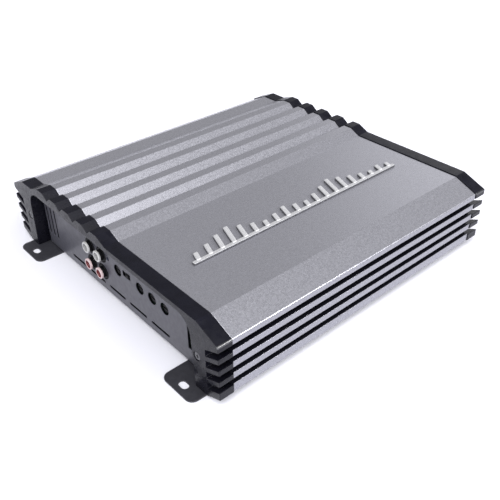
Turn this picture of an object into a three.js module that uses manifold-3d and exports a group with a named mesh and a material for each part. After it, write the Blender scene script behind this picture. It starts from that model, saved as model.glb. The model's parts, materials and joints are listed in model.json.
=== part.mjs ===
// Two-channel car amplifier with a finned, ridged heatsink body and two moulded end caps.
//
// Millimetres. +X runs along the heatsink's grooves, from the signal end to the power end.
// +Y runs from the front edge to the rear edge, and +Z is up. Z = 0 is the underside of the
// bottom plate, and the origin is midway along and across the body.

import * as THREE from 'three';
import { mergeVertices } from 'three/addons/utils/BufferGeometryUtils.js';
import Module from 'manifold-3d';

const wasm = await Module();
wasm.setup();

// Whole body
const BODY_LENGTH = 249;
const BODY_WIDTH = 240;
const HALF_LENGTH = BODY_LENGTH / 2;
const HALF_WIDTH = BODY_WIDTH / 2;
const GAP = 0.3;
const EDGE_BEVEL = 0.4;
const CUT_MARGIN = 1;

// Heights of the end caps' outline; the heatsink sits a little inside it
const CREST_HEIGHT = 57.5;
const DECK_HEIGHT = 53.5;
const LIP_HEIGHT = 46.3;
const HEATSINK_INSET = 0.6;

// Top outline, front to rear
const FRONT_LIP_RUN = 18.6;
const REAR_LIP_RUN = 16.2;
const RIDGE_COUNT = 5;
const RIDGE_PITCH = 17.9;
const RIDGE_CREST_WIDTH = 7;
const RIDGE_REAR_RUN = 5.2;
const FIRST_RIDGE_FRONT = 0;
const DECK_SLOPE_RUN = 8.9;
const REAR_SLOPE_RUN = 11.3;

// Grooves along both long sides; each runs downwards as it goes in
const GROOVE_COUNT = 4;
const GROOVE_PITCH = 8.4;
const TOP_GROOVE_CENTRE = 39.8;
const GROOVE_DEPTH = 11.5;
const GROOVE_FALL = 5;
const CAP_GROOVE_HEIGHT = 4.9;
const HEATSINK_GROOVE_HEIGHT = 4.1;
const FIN_TIP_UNDERSIDE = 6.5;
const UNDERSIDE_RUN = 10;
const UNDERSIDE_HEIGHT = 2.6;
const FOOT_RUN = 11.2;
const FOOT_HEIGHT = 1.5;

// Inside of the heatsink
const CAVITY_HALF_WIDTH = 104;
const CAVITY_TOP = 47.8;
const CAVITY_CORNER = 4;
const WALL_PAD_HALF_GAP = 97.5;
const WALL_PAD_TOP = 31.5;
const BOARD_SLOT_BOTTOM = 7.7;
const BOARD_SLOT_TOP = 10;
const LEDGE_HALF_GAP = 96;

// End caps
const CAP_DEPTH = 10.4;
const OPENING_TOP = 49.8;
const OPENING_BASE_HALF_WIDTH = 97.5;
const OPENING_TOP_HALF_WIDTH = 95.5;
const OPENING_CORNER_RADIUS = 12;
const OPENING_CORNER_STEPS = 5;
const CAP_SCREW_Y = 100.6;
const CAP_SCREW_Z = 26.7;
const CAP_SCREW_SHANK_RADIUS = 1.5;
const CAP_SCREW_HEAD_RADIUS = 2.7;
const CAP_SCREW_HEAD_DEPTH = 1.6;
const CAP_SCREW_LENGTH = 22;
const CAP_SCREW_CROSS_REACH = 1.6;
const CAP_SCREW_CROSS_DEPTH = 0.9;
const CROSS_HALF_WIDTH = 0.4;
const SCREW_PORT_RADIUS = 1.85;

// End panels
const PANEL_RECESS = 8.6;
const PANEL_THICKNESS = 1;
const PANEL_BOTTOM = 1.5;
const PANEL_BEND_RADIUS = 2.4;
const PANEL_BEND_STEPS = 5;
const PANEL_TOP = 49.3;
const PANEL_CORNER = 9;
const SIGNAL_PANEL_FRONT = -88;
const SIGNAL_PANEL_STEP_Y = -80.4;
const SIGNAL_PANEL_STEP_Z = 14;
const SIGNAL_PANEL_REAR = 93;
const POWER_PANEL_HALF_WIDTH = 93;
const PANEL_FLANGE_DEPTH = 14;

// Vents in the signal panel
const LOW_VENT_CENTRES = [48.2, 23.4, -1.4, -26.2, -51];
const LOW_VENT_LENGTH = 19.5;
const LOW_VENT_HEIGHT = 2;
const LOW_VENT_Z = 9.1;
const SIDE_VENT_CENTRES = [78.5, 84.2, 89.9];
const SIDE_VENT_WIDTH = 2;
const SIDE_VENT_BOTTOM = 12.8;
const SIDE_VENT_TOP = 39.3;

// RCA sockets
const RCA_COLUMNS = [28.2, 14.1];
const RCA_ROWS = [32.1, 18.2];
const RCA_HOLE_RADIUS = 6;
const RCA_COLLAR_RADIUS = 5.3;
const RCA_COLLAR_PROUD = 0.3;
const RCA_BARREL_RADIUS = 4;
const RCA_BORE_RADIUS = 3.1;
const RCA_BORE_DEPTH = 12;
const RCA_FACE_RECESS = 6.3;
const RCA_RING_RADIUS = 4.15;
const RCA_RING_THICKNESS = 1.4;
const RCA_PIN_HOLE_RADIUS = 1.7;
const RCA_BLOCK_DEPTH = 18;
const RCA_BLOCK_MARGIN = 6;
const RCA_INSERT_SHORTER = 2;
const RCA_PIN_HOLE_BACK = 1.5;

// Level controls, crossover switch and power light
const POT_CENTRES = [-5.8, -31.4, -44.8, -58];
const POT_Z = 29.7;
const POT_HOLE_RADIUS = 4.2;
const POT_KNOB_RADIUS = 3.4;
const POT_KNOB_LENGTH = 4;
const POT_STEM_RADIUS = 1.8;
const POT_STEM_LENGTH = 5;
const POT_KNOB_SINK = 1;
const POT_SLOT_WIDTH = 1;
const POT_SLOT_DEPTH = 1.2;
const POT_BODY_SIZE = 9.8;
const POT_BODY_DEPTH = 8;
const SWITCH_Y = -16.6;
const SWITCH_Z = 31.7;
const SWITCH_SLOT_LENGTH = 8.6;
const SWITCH_SLOT_HEIGHT = 4.2;
const SWITCH_LEVER_SIZE = 3.4;
const SWITCH_TRAVEL = 3;
const SWITCH_BODY_WIDTH = 10.8;
const SWITCH_BODY_HEIGHT = 7;
const SWITCH_LEVER_PROUD = 0.6;
const SWITCH_POCKET_DEPTH = 5.3;
const LED_Y = 5.7;
const LED_Z = 32.8;
const LED_RADIUS = 1.1;
const LED_PROUD = 0.8;
const LED_DOME_DEPTH = 1;

// Boards
const BOARD_BOTTOM = 8;
const BOARD_THICKNESS = 1.6;
const BOARD_TOP = BOARD_BOTTOM + BOARD_THICKNESS;
const BOARD_HALF_WIDTH = 103.6;
const BOARD_END_GAP = 11.2;
const CONTROL_BOARD_RECESS = 22.4;
const CONTROL_BOARD_HEIGHT = 30;
const CONTROL_BOARD_OVERHANG = 8;

// Bottom plate and its mounting tabs
const PLATE_THICKNESS = 1.2;
const PLATE_END_RECESS = 11.5;
const PLATE_HALF_WIDTH = 108;
const TAB_CENTRE_Y = 92;
const TAB_WIDTH = 29.6;
const TAB_REACH = 10.8;
const TAB_ROOT = 4;
const TAB_CORNER_RADIUS = 5.2;
const ROUND_CORNER_PULL = 0.5523;
const TAB_SLOT_RADIUS = 2.45;
const TAB_SLOT_LENGTH = 7.4;
const TAB_SLOT_REACH = 4.7;
const PLATE_SCREW_X = [-84, 0, 84];
const PLATE_SCREW_Y = 100;
const PLATE_SCREW_RADIUS = 1.5;
const PLATE_SCREW_HEAD_RADIUS = 2.7;
const PLATE_SCREW_HEAD_DEPTH = 1.1;
const PLATE_SCREW_LENGTH = 6.4;
const PLATE_SCREW_SINK = 0.15;
const PLATE_SCREW_CROSS_REACH = 1.5;
const PLATE_SCREW_CROSS_DEPTH = 0.8;

// Power end: two terminal strips with a fuse holder between them
const STRIP_BOTTOM = BOARD_TOP + GAP;
const STRIP_TOP = 32;
const STRIP_FACE_RECESS = 6;
const STRIP_DEPTH = 20;
const BARRIER_RECESS = 2;
const BARRIER_THICKNESS = 2;
const POWER_STRIP = { centre: -52, positions: 3, pitch: 15 };
const SPEAKER_STRIP = { centre: 50, positions: 4, pitch: 14 };
const TERMINAL_SCREW_Z = 22;
const TERMINAL_HEAD_RADIUS = 4.2;
const TERMINAL_HEAD_DEPTH = 2.4;
const TERMINAL_SHANK_RADIUS = 2;
const TERMINAL_SHANK_LENGTH = 9;
const TERMINAL_BEVEL = 0.6;
const TERMINAL_CROSS_REACH = 2.4;
const TERMINAL_CROSS_DEPTH = 1.3;
const FUSE_HOLDER_Y = -4;
const FUSE_HOLDER_WIDTH = 26;
const FUSE_HOLDER_TOP = 35;
const FUSE_HOLDER_RECESS = 7;
const FUSE_HOLDER_DEPTH = 18;
const FUSE_CENTRES_Z = [16.5, 28.5];
const FUSE_WIDTH = 19;
const FUSE_THICKNESS = 5;
const FUSE_BODY_LENGTH = 12;
const FUSE_FACE_RECESS = 2.6;
const FUSE_BLADE_SPACING = 13.8;
const FUSE_BLADE_WIDTH = 5;
const FUSE_BLADE_THICKNESS = 0.8;
const FUSE_BLADE_LENGTH = 6.5;
const UPPER_VENT_RISE = 6;

// Parts on the main board
const TOROID_X = 38;
const TOROID_Y = -42;
const TOROID_OUTER_RADIUS = 25;
const TOROID_INNER_RADIUS = 10;
const TOROID_HEIGHT = 20;
const TOROID_BEVEL = 3;
const CAPACITOR_CENTRES = [[40, 18], [40, 44], [66, 18], [66, 44]];
const CAPACITOR_RADIUS = 9;
const CAPACITOR_HEIGHT = 30;
const TRANSISTOR_X = [-45, 15];
const TRANSISTOR_WIDTH = 15.8;
const TRANSISTOR_HEIGHT = 20;
const TRANSISTOR_THICKNESS = 4.8;
const TRANSISTOR_BOTTOM = 11;
const CLAMP_LENGTH = 96;
const CLAMP_THICKNESS = 3;
const CLAMP_HEIGHT = 7;
const CLAMP_BOTTOM = 18;

// Raised badge of slanted bars on the deck
const BADGE_THICKNESS = 1.6;
const BADGE_CENTRE_Y = -60;
const BADGE_RAIL_WIDTH = 3;
const BADGE_BAR_PITCH = 9.4;
const BADGE_BAR_WIDTH = 3.8;
const BADGE_BAR_SLANT = 0.35;
const BADGE_BAR_HEIGHTS = [8, 11, 15, 18, 14, 10, 7, 9, 12, 9, 7, 10, 14, 18, 15, 11, 8, 6, 8, 6];

// Turns a drawn outline, with its thickness along Z, into a YZ outline with its thickness along X
const ALONG_X = new THREE.Matrix4().makeBasis(
  new THREE.Vector3(0, 1, 0), new THREE.Vector3(0, 0, 1), new THREE.Vector3(1, 0, 0));

const group = new THREE.Group();
group.name = 'car_amplifier';

function addPart(name, solid, color) {
  const geometry = welded(solid);
  geometry.computeVertexNormals();
  const material = new THREE.MeshStandardMaterial({ color, flatShading: true });
  const mesh = new THREE.Mesh(geometry, material);
  mesh.name = name;
  group.add(mesh);
}

// The same mesh with shared corners joined and its flat slivers left out.
function welded(geometry) {
  const bare = geometry.clone();
  bare.deleteAttribute('normal');
  bare.deleteAttribute('uv');
  const merged = mergeVertices(bare, 1e-4);
  const triangles = [];
  for (let i = 0; i < merged.index.count; i += 3) {
    const [a, b, c] = [0, 1, 2].map((k) => merged.index.getX(i + k));
    if (a !== b && b !== c && c !== a) {
      triangles.push(a, b, c);
    }
  }
  merged.setIndex(triangles);
  return merged;
}

function toSolid(geometry) {
  const mesh = welded(geometry);
  return new wasm.Manifold(new wasm.Mesh({
    numProp: 3,
    vertProperties: new Float32Array(mesh.attributes.position.array),
    triVerts: new Uint32Array(mesh.index.array),
  }));
}

function toGeometry(solid) {
  const mesh = solid.getMesh();
  const geometry = new THREE.BufferGeometry();
  geometry.setAttribute('position', new THREE.BufferAttribute(mesh.vertProperties, 3));
  geometry.setIndex(new THREE.BufferAttribute(mesh.triVerts, 1));
  return geometry.toNonIndexed();
}

function union(geometries) {
  return toGeometry(geometries.map(toSolid).reduce((whole, next) => whole.add(next)));
}

function cut(geometry, cutters) {
  return toGeometry(cutters.map(toSolid).reduce((rest, cutter) => rest.subtract(cutter), toSolid(geometry)));
}

// A closed outline, drawn anticlockwise, which holes cut in it need.
function shapeFrom(points) {
  const outline = points.map(([u, v]) => new THREE.Vector2(u, v));
  if (THREE.ShapeUtils.isClockWise(outline)) {
    outline.reverse();
  }
  return new THREE.Shape(outline);
}

// A solid with the given YZ outline, from startX to endX.
function extrudeAlongX(shape, startX, endX, curveSegments = 8) {
  const geometry = new THREE.ExtrudeGeometry(shape, {
    depth: endX - startX, bevelEnabled: false, curveSegments,
  });
  geometry.applyMatrix4(ALONG_X);
  geometry.translate(startX, 0, 0);
  return geometry;
}

// A solid with the given XZ outline, from startY to endY.
function extrudeAlongY(shape, startY, endY) {
  const geometry = new THREE.ExtrudeGeometry(shape, { depth: endY - startY, bevelEnabled: false });
  geometry.rotateX(Math.PI / 2);
  geometry.translate(0, endY, 0);
  return geometry;
}

// A solid with the given XY outline, from startZ to endZ.
function extrudeAlongZ(shape, startZ, endZ, curveSegments = 8) {
  const geometry = new THREE.ExtrudeGeometry(shape, {
    depth: endZ - startZ, bevelEnabled: false, curveSegments,
  });
  geometry.translate(0, 0, startZ);
  return geometry;
}

function box(x0, x1, y0, y1, z0, z1) {
  const geometry = new THREE.BoxGeometry(x1 - x0, y1 - y0, z1 - z0);
  geometry.translate((x0 + x1) / 2, (y0 + y1) / 2, (z0 + z1) / 2);
  return geometry;
}

// A turned solid about a line along X; the profile lists [radius, distance inwards] from the
// end of the body that `side` names, -1 for the signal end and +1 for the power end.
function turnedAtEnd(side, y, z, profile, segments = 16) {
  const points = profile.map(([radius, inwards]) => new THREE.Vector2(radius, inwards));
  const geometry = new THREE.LatheGeometry(points, segments);
  geometry.rotateZ(side < 0 ? -Math.PI / 2 : Math.PI / 2);
  geometry.translate(side * HALF_LENGTH, y, z);
  return outward(geometry);
}

// A turned solid about a vertical line; the profile lists [radius, height].
function turnedUpright(x, y, profile, segments = 16) {
  const points = profile.map(([radius, height]) => new THREE.Vector2(radius, height));
  const geometry = new THREE.LatheGeometry(points, segments);
  geometry.rotateX(Math.PI / 2);
  geometry.translate(x, y, 0);
  return outward(geometry);
}

// Flips a closed mesh whose triangles face inwards.
function outward(geometry) {
  const position = geometry.attributes.position;
  const index = geometry.index;
  const corners = [new THREE.Vector3(), new THREE.Vector3(), new THREE.Vector3()];
  let volume = 0;
  for (let i = 0; i < index.count; i += 3) {
    corners.forEach((corner, k) => corner.fromBufferAttribute(position, index.getX(i + k)));
    volume += corners[0].dot(corners[1].clone().cross(corners[2]));
  }
  if (volume < 0) {
    for (let i = 0; i < index.count; i += 3) {
      const first = index.getX(i);
      index.setX(i, index.getX(i + 1));
      index.setX(i + 1, first);
    }
  }
  return geometry;
}

// A box given by distances inwards from one end of the body.
function boxAtEnd(side, from, to, y0, y1, z0, z1) {
  const a = side * (HALF_LENGTH - from);
  const b = side * (HALF_LENGTH - to);
  return box(Math.min(a, b), Math.max(a, b), y0, y1, z0, z1);
}

// Cutters that pass right through the panel at one end of the body.
function roundCutter(side, y, z, radius) {
  const near = PANEL_RECESS - CUT_MARGIN;
  const far = PANEL_RECESS + PANEL_THICKNESS + CUT_MARGIN;
  return turnedAtEnd(side, y, z, [[0, near], [radius, near], [radius, far], [0, far]], 20);
}

function slotCutter(side, y, z, width, height) {
  const near = PANEL_RECESS - CUT_MARGIN;
  const far = PANEL_RECESS + PANEL_THICKNESS + CUT_MARGIN;
  return boxAtEnd(side, near, far,
    y - width / 2, y + width / 2, z - height / 2, z + height / 2);
}

// ---- Heatsink and end caps ----

// One long side, from the lip down to the foot that stands on the plate, as [distance in, height].
function sideOutline(inset, grooveHeight) {
  const points = [[0, LIP_HEIGHT - inset]];
  for (let i = 0; i < GROOVE_COUNT; i += 1) {
    const top = TOP_GROOVE_CENTRE - i * GROOVE_PITCH + grooveHeight / 2;
    const bottom = top - grooveHeight;
    points.push([0, top], [GROOVE_DEPTH, top - GROOVE_FALL]);
    points.push([GROOVE_DEPTH, bottom - GROOVE_FALL], [0, bottom]);
  }
  points.push([0, FIN_TIP_UNDERSIDE], [UNDERSIDE_RUN, UNDERSIDE_HEIGHT], [FOOT_RUN, FOOT_HEIGHT]);
  return points;
}

// The top between the two lips, front to rear, as [y, height].
function topOutline(inset) {
  const deck = DECK_HEIGHT - inset;
  const crest = CREST_HEIGHT - inset;
  const points = [
    [FRONT_LIP_RUN - HALF_WIDTH, deck],
    [FIRST_RIDGE_FRONT - DECK_SLOPE_RUN, deck],
  ];
  for (let i = 0; i < RIDGE_COUNT; i += 1) {
    const front = FIRST_RIDGE_FRONT + i * RIDGE_PITCH;
    const rear = front + RIDGE_CREST_WIDTH;
    points.push([front, crest], [rear, crest]);
    const isLast = i === RIDGE_COUNT - 1;
    points.push([rear + (isLast ? REAR_SLOPE_RUN : RIDGE_REAR_RUN), deck]);
  }
  points.push([HALF_WIDTH - REAR_LIP_RUN, deck]);
  return points;
}

// The outside of the body, from the front underside over the top to the rear underside.
function bodyOutline(inset, grooveHeight) {
  const side = sideOutline(inset, grooveHeight);
  const face = HALF_WIDTH - inset;
  const front = side.map(([inwards, z]) => [inwards - face, z]).reverse();
  const rear = side.map(([inwards, z]) => [face - inwards, z]);
  return [...front, ...topOutline(inset), ...rear];
}

function makeHeatsink() {
  const rearWall = [
    [LEDGE_HALF_GAP, FOOT_HEIGHT],
    [LEDGE_HALF_GAP, BOARD_SLOT_BOTTOM],
    [CAVITY_HALF_WIDTH, BOARD_SLOT_BOTTOM],
    [CAVITY_HALF_WIDTH, BOARD_SLOT_TOP],
    [WALL_PAD_HALF_GAP, BOARD_SLOT_TOP],
    [WALL_PAD_HALF_GAP, WALL_PAD_TOP],
    [CAVITY_HALF_WIDTH, WALL_PAD_TOP],
    [CAVITY_HALF_WIDTH, CAVITY_TOP - CAVITY_CORNER],
    [CAVITY_HALF_WIDTH - CAVITY_CORNER, CAVITY_TOP],
  ];
  const frontWall = rearWall.map(([y, z]) => [-y, z]).reverse();
  const outline = bodyOutline(HEATSINK_INSET, HEATSINK_GROOVE_HEIGHT);
  const shape = shapeFrom([...outline, ...rearWall, ...frontWall]);
  for (const side of [-1, 1]) {
    const port = new THREE.Path();
    port.absarc(side * CAP_SCREW_Y, CAP_SCREW_Z, SCREW_PORT_RADIUS, 0, Math.PI * 2, true);
    shape.holes.push(port);
  }
  const end = HALF_LENGTH - CAP_DEPTH - GAP;
  const extrusion = extrudeAlongX(shape, -end, end, 6);
  const pilotRadius = PLATE_SCREW_RADIUS + GAP;
  const pilotBottom = FOOT_HEIGHT - CUT_MARGIN;
  const pilotTop = PLATE_SCREW_LENGTH + GAP;
  const pilotHoles = [];
  for (const x of PLATE_SCREW_X) {
    for (const side of [-1, 1]) {
      pilotHoles.push(turnedUpright(x, side * PLATE_SCREW_Y, [
        [0, pilotBottom], [pilotRadius, pilotBottom], [pilotRadius, pilotTop], [0, pilotTop],
      ], 12));
    }
  }
  addPart('heatsink', cut(extrusion, pilotHoles), 0x9a9aa0);
}

// The arched opening of an end cap, from its rear foot over the top to its front foot.
function openingOutline() {
  const points = [[OPENING_BASE_HALF_WIDTH, FOOT_HEIGHT]];
  for (let i = 0; i <= OPENING_CORNER_STEPS; i += 1) {
    const angle = (Math.PI / 2) * (i / OPENING_CORNER_STEPS);
    points.push([
      OPENING_TOP_HALF_WIDTH - OPENING_CORNER_RADIUS * (1 - Math.cos(angle)),
      OPENING_TOP - OPENING_CORNER_RADIUS * (1 - Math.sin(angle)),
    ]);
  }
  return [...points, ...points.map(([y, z]) => [-y, z]).reverse()];
}

// The screw itself with no clearance, or the hole that clears it.
function capScrewProfile(clearance) {
  const head = CAP_SCREW_HEAD_RADIUS + clearance;
  const shank = CAP_SCREW_SHANK_RADIUS + clearance;
  const start = clearance > 0 ? -CUT_MARGIN : GAP;
  const end = clearance > 0 ? CAP_DEPTH + CUT_MARGIN : CAP_SCREW_LENGTH;
  const rim = GAP + EDGE_BEVEL;
  const neck = CAP_SCREW_HEAD_DEPTH + GAP;
  return [[0, start], [head, start], [head, rim], [shank, neck], [shank, end], [0, end]];
}

function makeEndCap(side, name) {
  const shape = shapeFrom([...bodyOutline(0, CAP_GROOVE_HEIGHT), ...openingOutline()]);
  const outer = side * HALF_LENGTH;
  const inner = side * (HALF_LENGTH - CAP_DEPTH);
  const plate = extrudeAlongX(shape, Math.min(outer, inner), Math.max(outer, inner));
  const holes = [-1, 1].map((edge) => turnedAtEnd(
    side, edge * CAP_SCREW_Y, CAP_SCREW_Z, capScrewProfile(GAP)));
  addPart(name, cut(plate, holes), 0x2a2b30);
}

// The cross-shaped driver recess of a screw that faces out of one end of the body.
function crossRecessAtEnd(side, y, z, faceRecess, reach, depth) {
  const half = CROSS_HALF_WIDTH;
  const near = faceRecess - CUT_MARGIN;
  const far = faceRecess + depth;
  return [
    boxAtEnd(side, near, far, y - reach, y + reach, z - half, z + half),
    boxAtEnd(side, near, far, y - half, y + half, z - reach, z + reach),
  ];
}

function makeCapScrew(side, edge, name) {
  const y = edge * CAP_SCREW_Y;
  const screw = turnedAtEnd(side, y, CAP_SCREW_Z, capScrewProfile(0), 14);
  const cross = crossRecessAtEnd(
    side, y, CAP_SCREW_Z, GAP, CAP_SCREW_CROSS_REACH, CAP_SCREW_CROSS_DEPTH);
  addPart(name, cut(screw, cross), 0x55565c);
}

// ---- Bottom plate ----

function makeBottomPlate() {
  const end = HALF_LENGTH - PLATE_END_RECESS;
  const sheet = box(-end, end, -PLATE_HALF_WIDTH, PLATE_HALF_WIDTH, 0, PLATE_THICKNESS);
  const below = -CUT_MARGIN;
  const above = PLATE_THICKNESS + CUT_MARGIN;
  const tabs = [];
  const holes = [];
  for (const endSide of [-1, 1]) {
    for (const edge of [-1, 1]) {
      tabs.push(extrudeAlongZ(tabShape(endSide, edge), 0, PLATE_THICKNESS, 4));
      const x = endSide * (HALF_LENGTH + TAB_SLOT_REACH);
      holes.push(extrudeAlongZ(tabSlotShape(x, edge * TAB_CENTRE_Y), below, above, 10));
    }
  }
  for (const x of PLATE_SCREW_X) {
    for (const edge of [-1, 1]) {
      holes.push(turnedUpright(x, edge * PLATE_SCREW_Y, plateScrewProfile(GAP), 14));
    }
  }
  addPart('bottom_plate', cut(union([sheet, ...tabs]), holes), 0x3c3d41);
}

function tabShape(endSide, edge) {
  const inner = endSide * (HALF_LENGTH - PLATE_END_RECESS - TAB_ROOT);
  const outer = endSide * (HALF_LENGTH + TAB_REACH);
  const bend = outer - endSide * TAB_CORNER_RADIUS;
  const low = edge * TAB_CENTRE_Y - TAB_WIDTH / 2;
  const high = edge * TAB_CENTRE_Y + TAB_WIDTH / 2;
  const shape = new THREE.Shape();
  shape.moveTo(inner, low);
  shape.lineTo(bend, low);
  const bulge = endSide * TAB_CORNER_RADIUS * ROUND_CORNER_PULL;
  const pull = TAB_CORNER_RADIUS * (1 - ROUND_CORNER_PULL);
  shape.bezierCurveTo(bend + bulge, low, outer, low + pull, outer, low + TAB_CORNER_RADIUS);
  shape.lineTo(outer, high - TAB_CORNER_RADIUS);
  shape.bezierCurveTo(outer, high - pull, bend + bulge, high, bend, high);
  shape.lineTo(inner, high);
  shape.closePath();
  return shape;
}

// A mounting slot with round ends, its length across the body.
function tabSlotShape(x, y) {
  const half = TAB_SLOT_LENGTH / 2 - TAB_SLOT_RADIUS;
  const shape = new THREE.Shape();
  shape.absarc(x, y + half, TAB_SLOT_RADIUS, 0, Math.PI, false);
  shape.absarc(x, y - half, TAB_SLOT_RADIUS, Math.PI, 2 * Math.PI, false);
  shape.closePath();
  return shape;
}

// The screw itself with no clearance, or the hole that clears it.
function plateScrewProfile(clearance) {
  const head = PLATE_SCREW_HEAD_RADIUS + clearance;
  const shank = PLATE_SCREW_RADIUS + clearance;
  const start = clearance > 0 ? -CUT_MARGIN : PLATE_SCREW_SINK;
  const end = clearance > 0 ? PLATE_THICKNESS + CUT_MARGIN : PLATE_SCREW_LENGTH;
  const rim = 2 * PLATE_SCREW_SINK;
  return [[0, start], [head, start], [head, rim], [shank, PLATE_SCREW_HEAD_DEPTH], [shank, end], [0, end]];
}

function makePlateScrew(x, edge, name) {
  const y = edge * PLATE_SCREW_Y;
  const screw = turnedUpright(x, y, plateScrewProfile(0), 14);
  const reach = PLATE_SCREW_CROSS_REACH;
  const half = CROSS_HALF_WIDTH;
  const cross = [
    box(x - reach, x + reach, y - half, y + half, -CUT_MARGIN, PLATE_SCREW_CROSS_DEPTH),
    box(x - half, x + half, y - reach, y + reach, -CUT_MARGIN, PLATE_SCREW_CROSS_DEPTH),
  ];
  addPart(name, cut(screw, cross), 0x6a6b70);
}

// ---- End panels ----

// A quarter turn as [distance inwards, height], from the panel's face down to its flange.
function bendArc(radius) {
  const points = [];
  for (let i = 0; i <= PANEL_BEND_STEPS; i += 1) {
    const angle = (Math.PI / 2) * (i / PANEL_BEND_STEPS);
    points.push([
      PANEL_RECESS + PANEL_BEND_RADIUS - radius * Math.cos(angle),
      PANEL_BOTTOM + PANEL_BEND_RADIUS - radius * Math.sin(angle),
    ]);
  }
  return points;
}

// A bent sheet: an upright face with sloping top corners, and a flange that lies on the plate.
function makePanel(side, front, rear, cutters, name) {
  const flangeEnd = PANEL_RECESS + PANEL_FLANGE_DEPTH;
  const section = [
    [PANEL_RECESS, PANEL_TOP],
    ...bendArc(PANEL_BEND_RADIUS),
    [flangeEnd, PANEL_BOTTOM],
    [flangeEnd, PANEL_BOTTOM + PANEL_THICKNESS],
    ...bendArc(PANEL_BEND_RADIUS - PANEL_THICKNESS).reverse(),
    [PANEL_RECESS + PANEL_THICKNESS, PANEL_TOP],
  ];
  const sheet = extrudeAlongY(
    shapeFrom(section.map(([inwards, z]) => [side * (HALF_LENGTH - inwards), z])), front, rear);
  const near = PANEL_RECESS - CUT_MARGIN;
  const far = PANEL_RECESS + PANEL_THICKNESS + CUT_MARGIN;
  const startX = Math.min(side * (HALF_LENGTH - near), side * (HALF_LENGTH - far));
  const corners = [[front, 1], [rear, -1]].map(([edge, inwards]) => extrudeAlongX(shapeFrom([
    [edge - inwards * CUT_MARGIN, PANEL_TOP - PANEL_CORNER - CUT_MARGIN],
    [edge + inwards * (PANEL_CORNER + CUT_MARGIN), PANEL_TOP + CUT_MARGIN],
    [edge - inwards * CUT_MARGIN, PANEL_TOP + CUT_MARGIN],
  ]), startX, startX + far - near));
  addPart(name, cut(sheet, [...corners, ...cutters]), 0x77787e);
}

// Its front edge is stepped in above a low foot.
function makeSignalPanel() {
  const step = boxAtEnd(-1, PANEL_RECESS - CUT_MARGIN, PANEL_RECESS + PANEL_THICKNESS + CUT_MARGIN,
    SIGNAL_PANEL_FRONT - CUT_MARGIN, SIGNAL_PANEL_STEP_Y, SIGNAL_PANEL_STEP_Z, PANEL_TOP + CUT_MARGIN);
  const ventHeight = SIDE_VENT_TOP - SIDE_VENT_BOTTOM;
  const ventMiddle = SIDE_VENT_BOTTOM + ventHeight / 2;
  makePanel(-1, SIGNAL_PANEL_FRONT, SIGNAL_PANEL_REAR, [
    step,
    ...LOW_VENT_CENTRES.map((y) => slotCutter(-1, y, LOW_VENT_Z, LOW_VENT_LENGTH, LOW_VENT_HEIGHT)),
    ...SIDE_VENT_CENTRES.map((y) => slotCutter(-1, y, ventMiddle, SIDE_VENT_WIDTH, ventHeight)),
    ...RCA_COLUMNS.flatMap((y) => RCA_ROWS.map((z) => roundCutter(-1, y, z, RCA_HOLE_RADIUS))),
    ...POT_CENTRES.map((y) => roundCutter(-1, y, POT_Z, POT_HOLE_RADIUS)),
    slotCutter(-1, SWITCH_Y, SWITCH_Z, SWITCH_SLOT_LENGTH, SWITCH_SLOT_HEIGHT),
    roundCutter(-1, LED_Y, LED_Z, LED_RADIUS + GAP),
  ], 'signal_panel');
}

function makePowerPanel() {
  const stripMiddle = (STRIP_TOP + STRIP_BOTTOM) / 2;
  const stripHeight = STRIP_TOP - STRIP_BOTTOM + 2 * GAP;
  const holderMiddle = (FUSE_HOLDER_TOP + STRIP_BOTTOM) / 2;
  const holderHeight = FUSE_HOLDER_TOP - STRIP_BOTTOM + 2 * GAP;
  makePanel(1, -POWER_PANEL_HALF_WIDTH, POWER_PANEL_HALF_WIDTH, [
    ...[POWER_STRIP, SPEAKER_STRIP].map((strip) => (
      slotCutter(1, strip.centre, stripMiddle, stripWidth(strip) + 2 * GAP, stripHeight))),
    slotCutter(1, FUSE_HOLDER_Y, holderMiddle, FUSE_HOLDER_WIDTH + 2 * GAP, holderHeight),
    ...LOW_VENT_CENTRES.map((y) => (
      slotCutter(1, y, FUSE_HOLDER_TOP + UPPER_VENT_RISE, LOW_VENT_LENGTH, LOW_VENT_HEIGHT))),
  ], 'power_panel');
}

// ---- Signal end ----

function makeRcaBlock() {
  const [highY, lowY] = RCA_COLUMNS;
  const [highZ] = RCA_ROWS;
  const back = PANEL_RECESS + PANEL_THICKNESS + GAP;
  const pieces = [boxAtEnd(-1, back, back + RCA_BLOCK_DEPTH,
    lowY - RCA_BLOCK_MARGIN, highY + RCA_BLOCK_MARGIN, BOARD_TOP + GAP, highZ + RCA_BLOCK_MARGIN)];
  const bores = [];
  const barrelFace = RCA_FACE_RECESS;
  const collarFace = PANEL_RECESS - RCA_COLLAR_PROUD;
  const boreFace = barrelFace - CUT_MARGIN;
  const boreEnd = barrelFace + RCA_BORE_DEPTH;
  for (const y of RCA_COLUMNS) {
    for (const z of RCA_ROWS) {
      pieces.push(turnedAtEnd(-1, y, z, [
        [0, barrelFace], [RCA_BARREL_RADIUS, barrelFace],
        [RCA_BARREL_RADIUS, collarFace], [RCA_COLLAR_RADIUS, collarFace],
        [RCA_COLLAR_RADIUS, back + CUT_MARGIN], [0, back + CUT_MARGIN],
      ], 20));
      bores.push(turnedAtEnd(-1, y, z, [
        [0, boreFace], [RCA_BORE_RADIUS, boreFace], [RCA_BORE_RADIUS, boreEnd], [0, boreEnd],
      ], 16));
    }
  }
  addPart('rca_block', cut(union(pieces), bores), 0x18181b);
}

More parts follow.
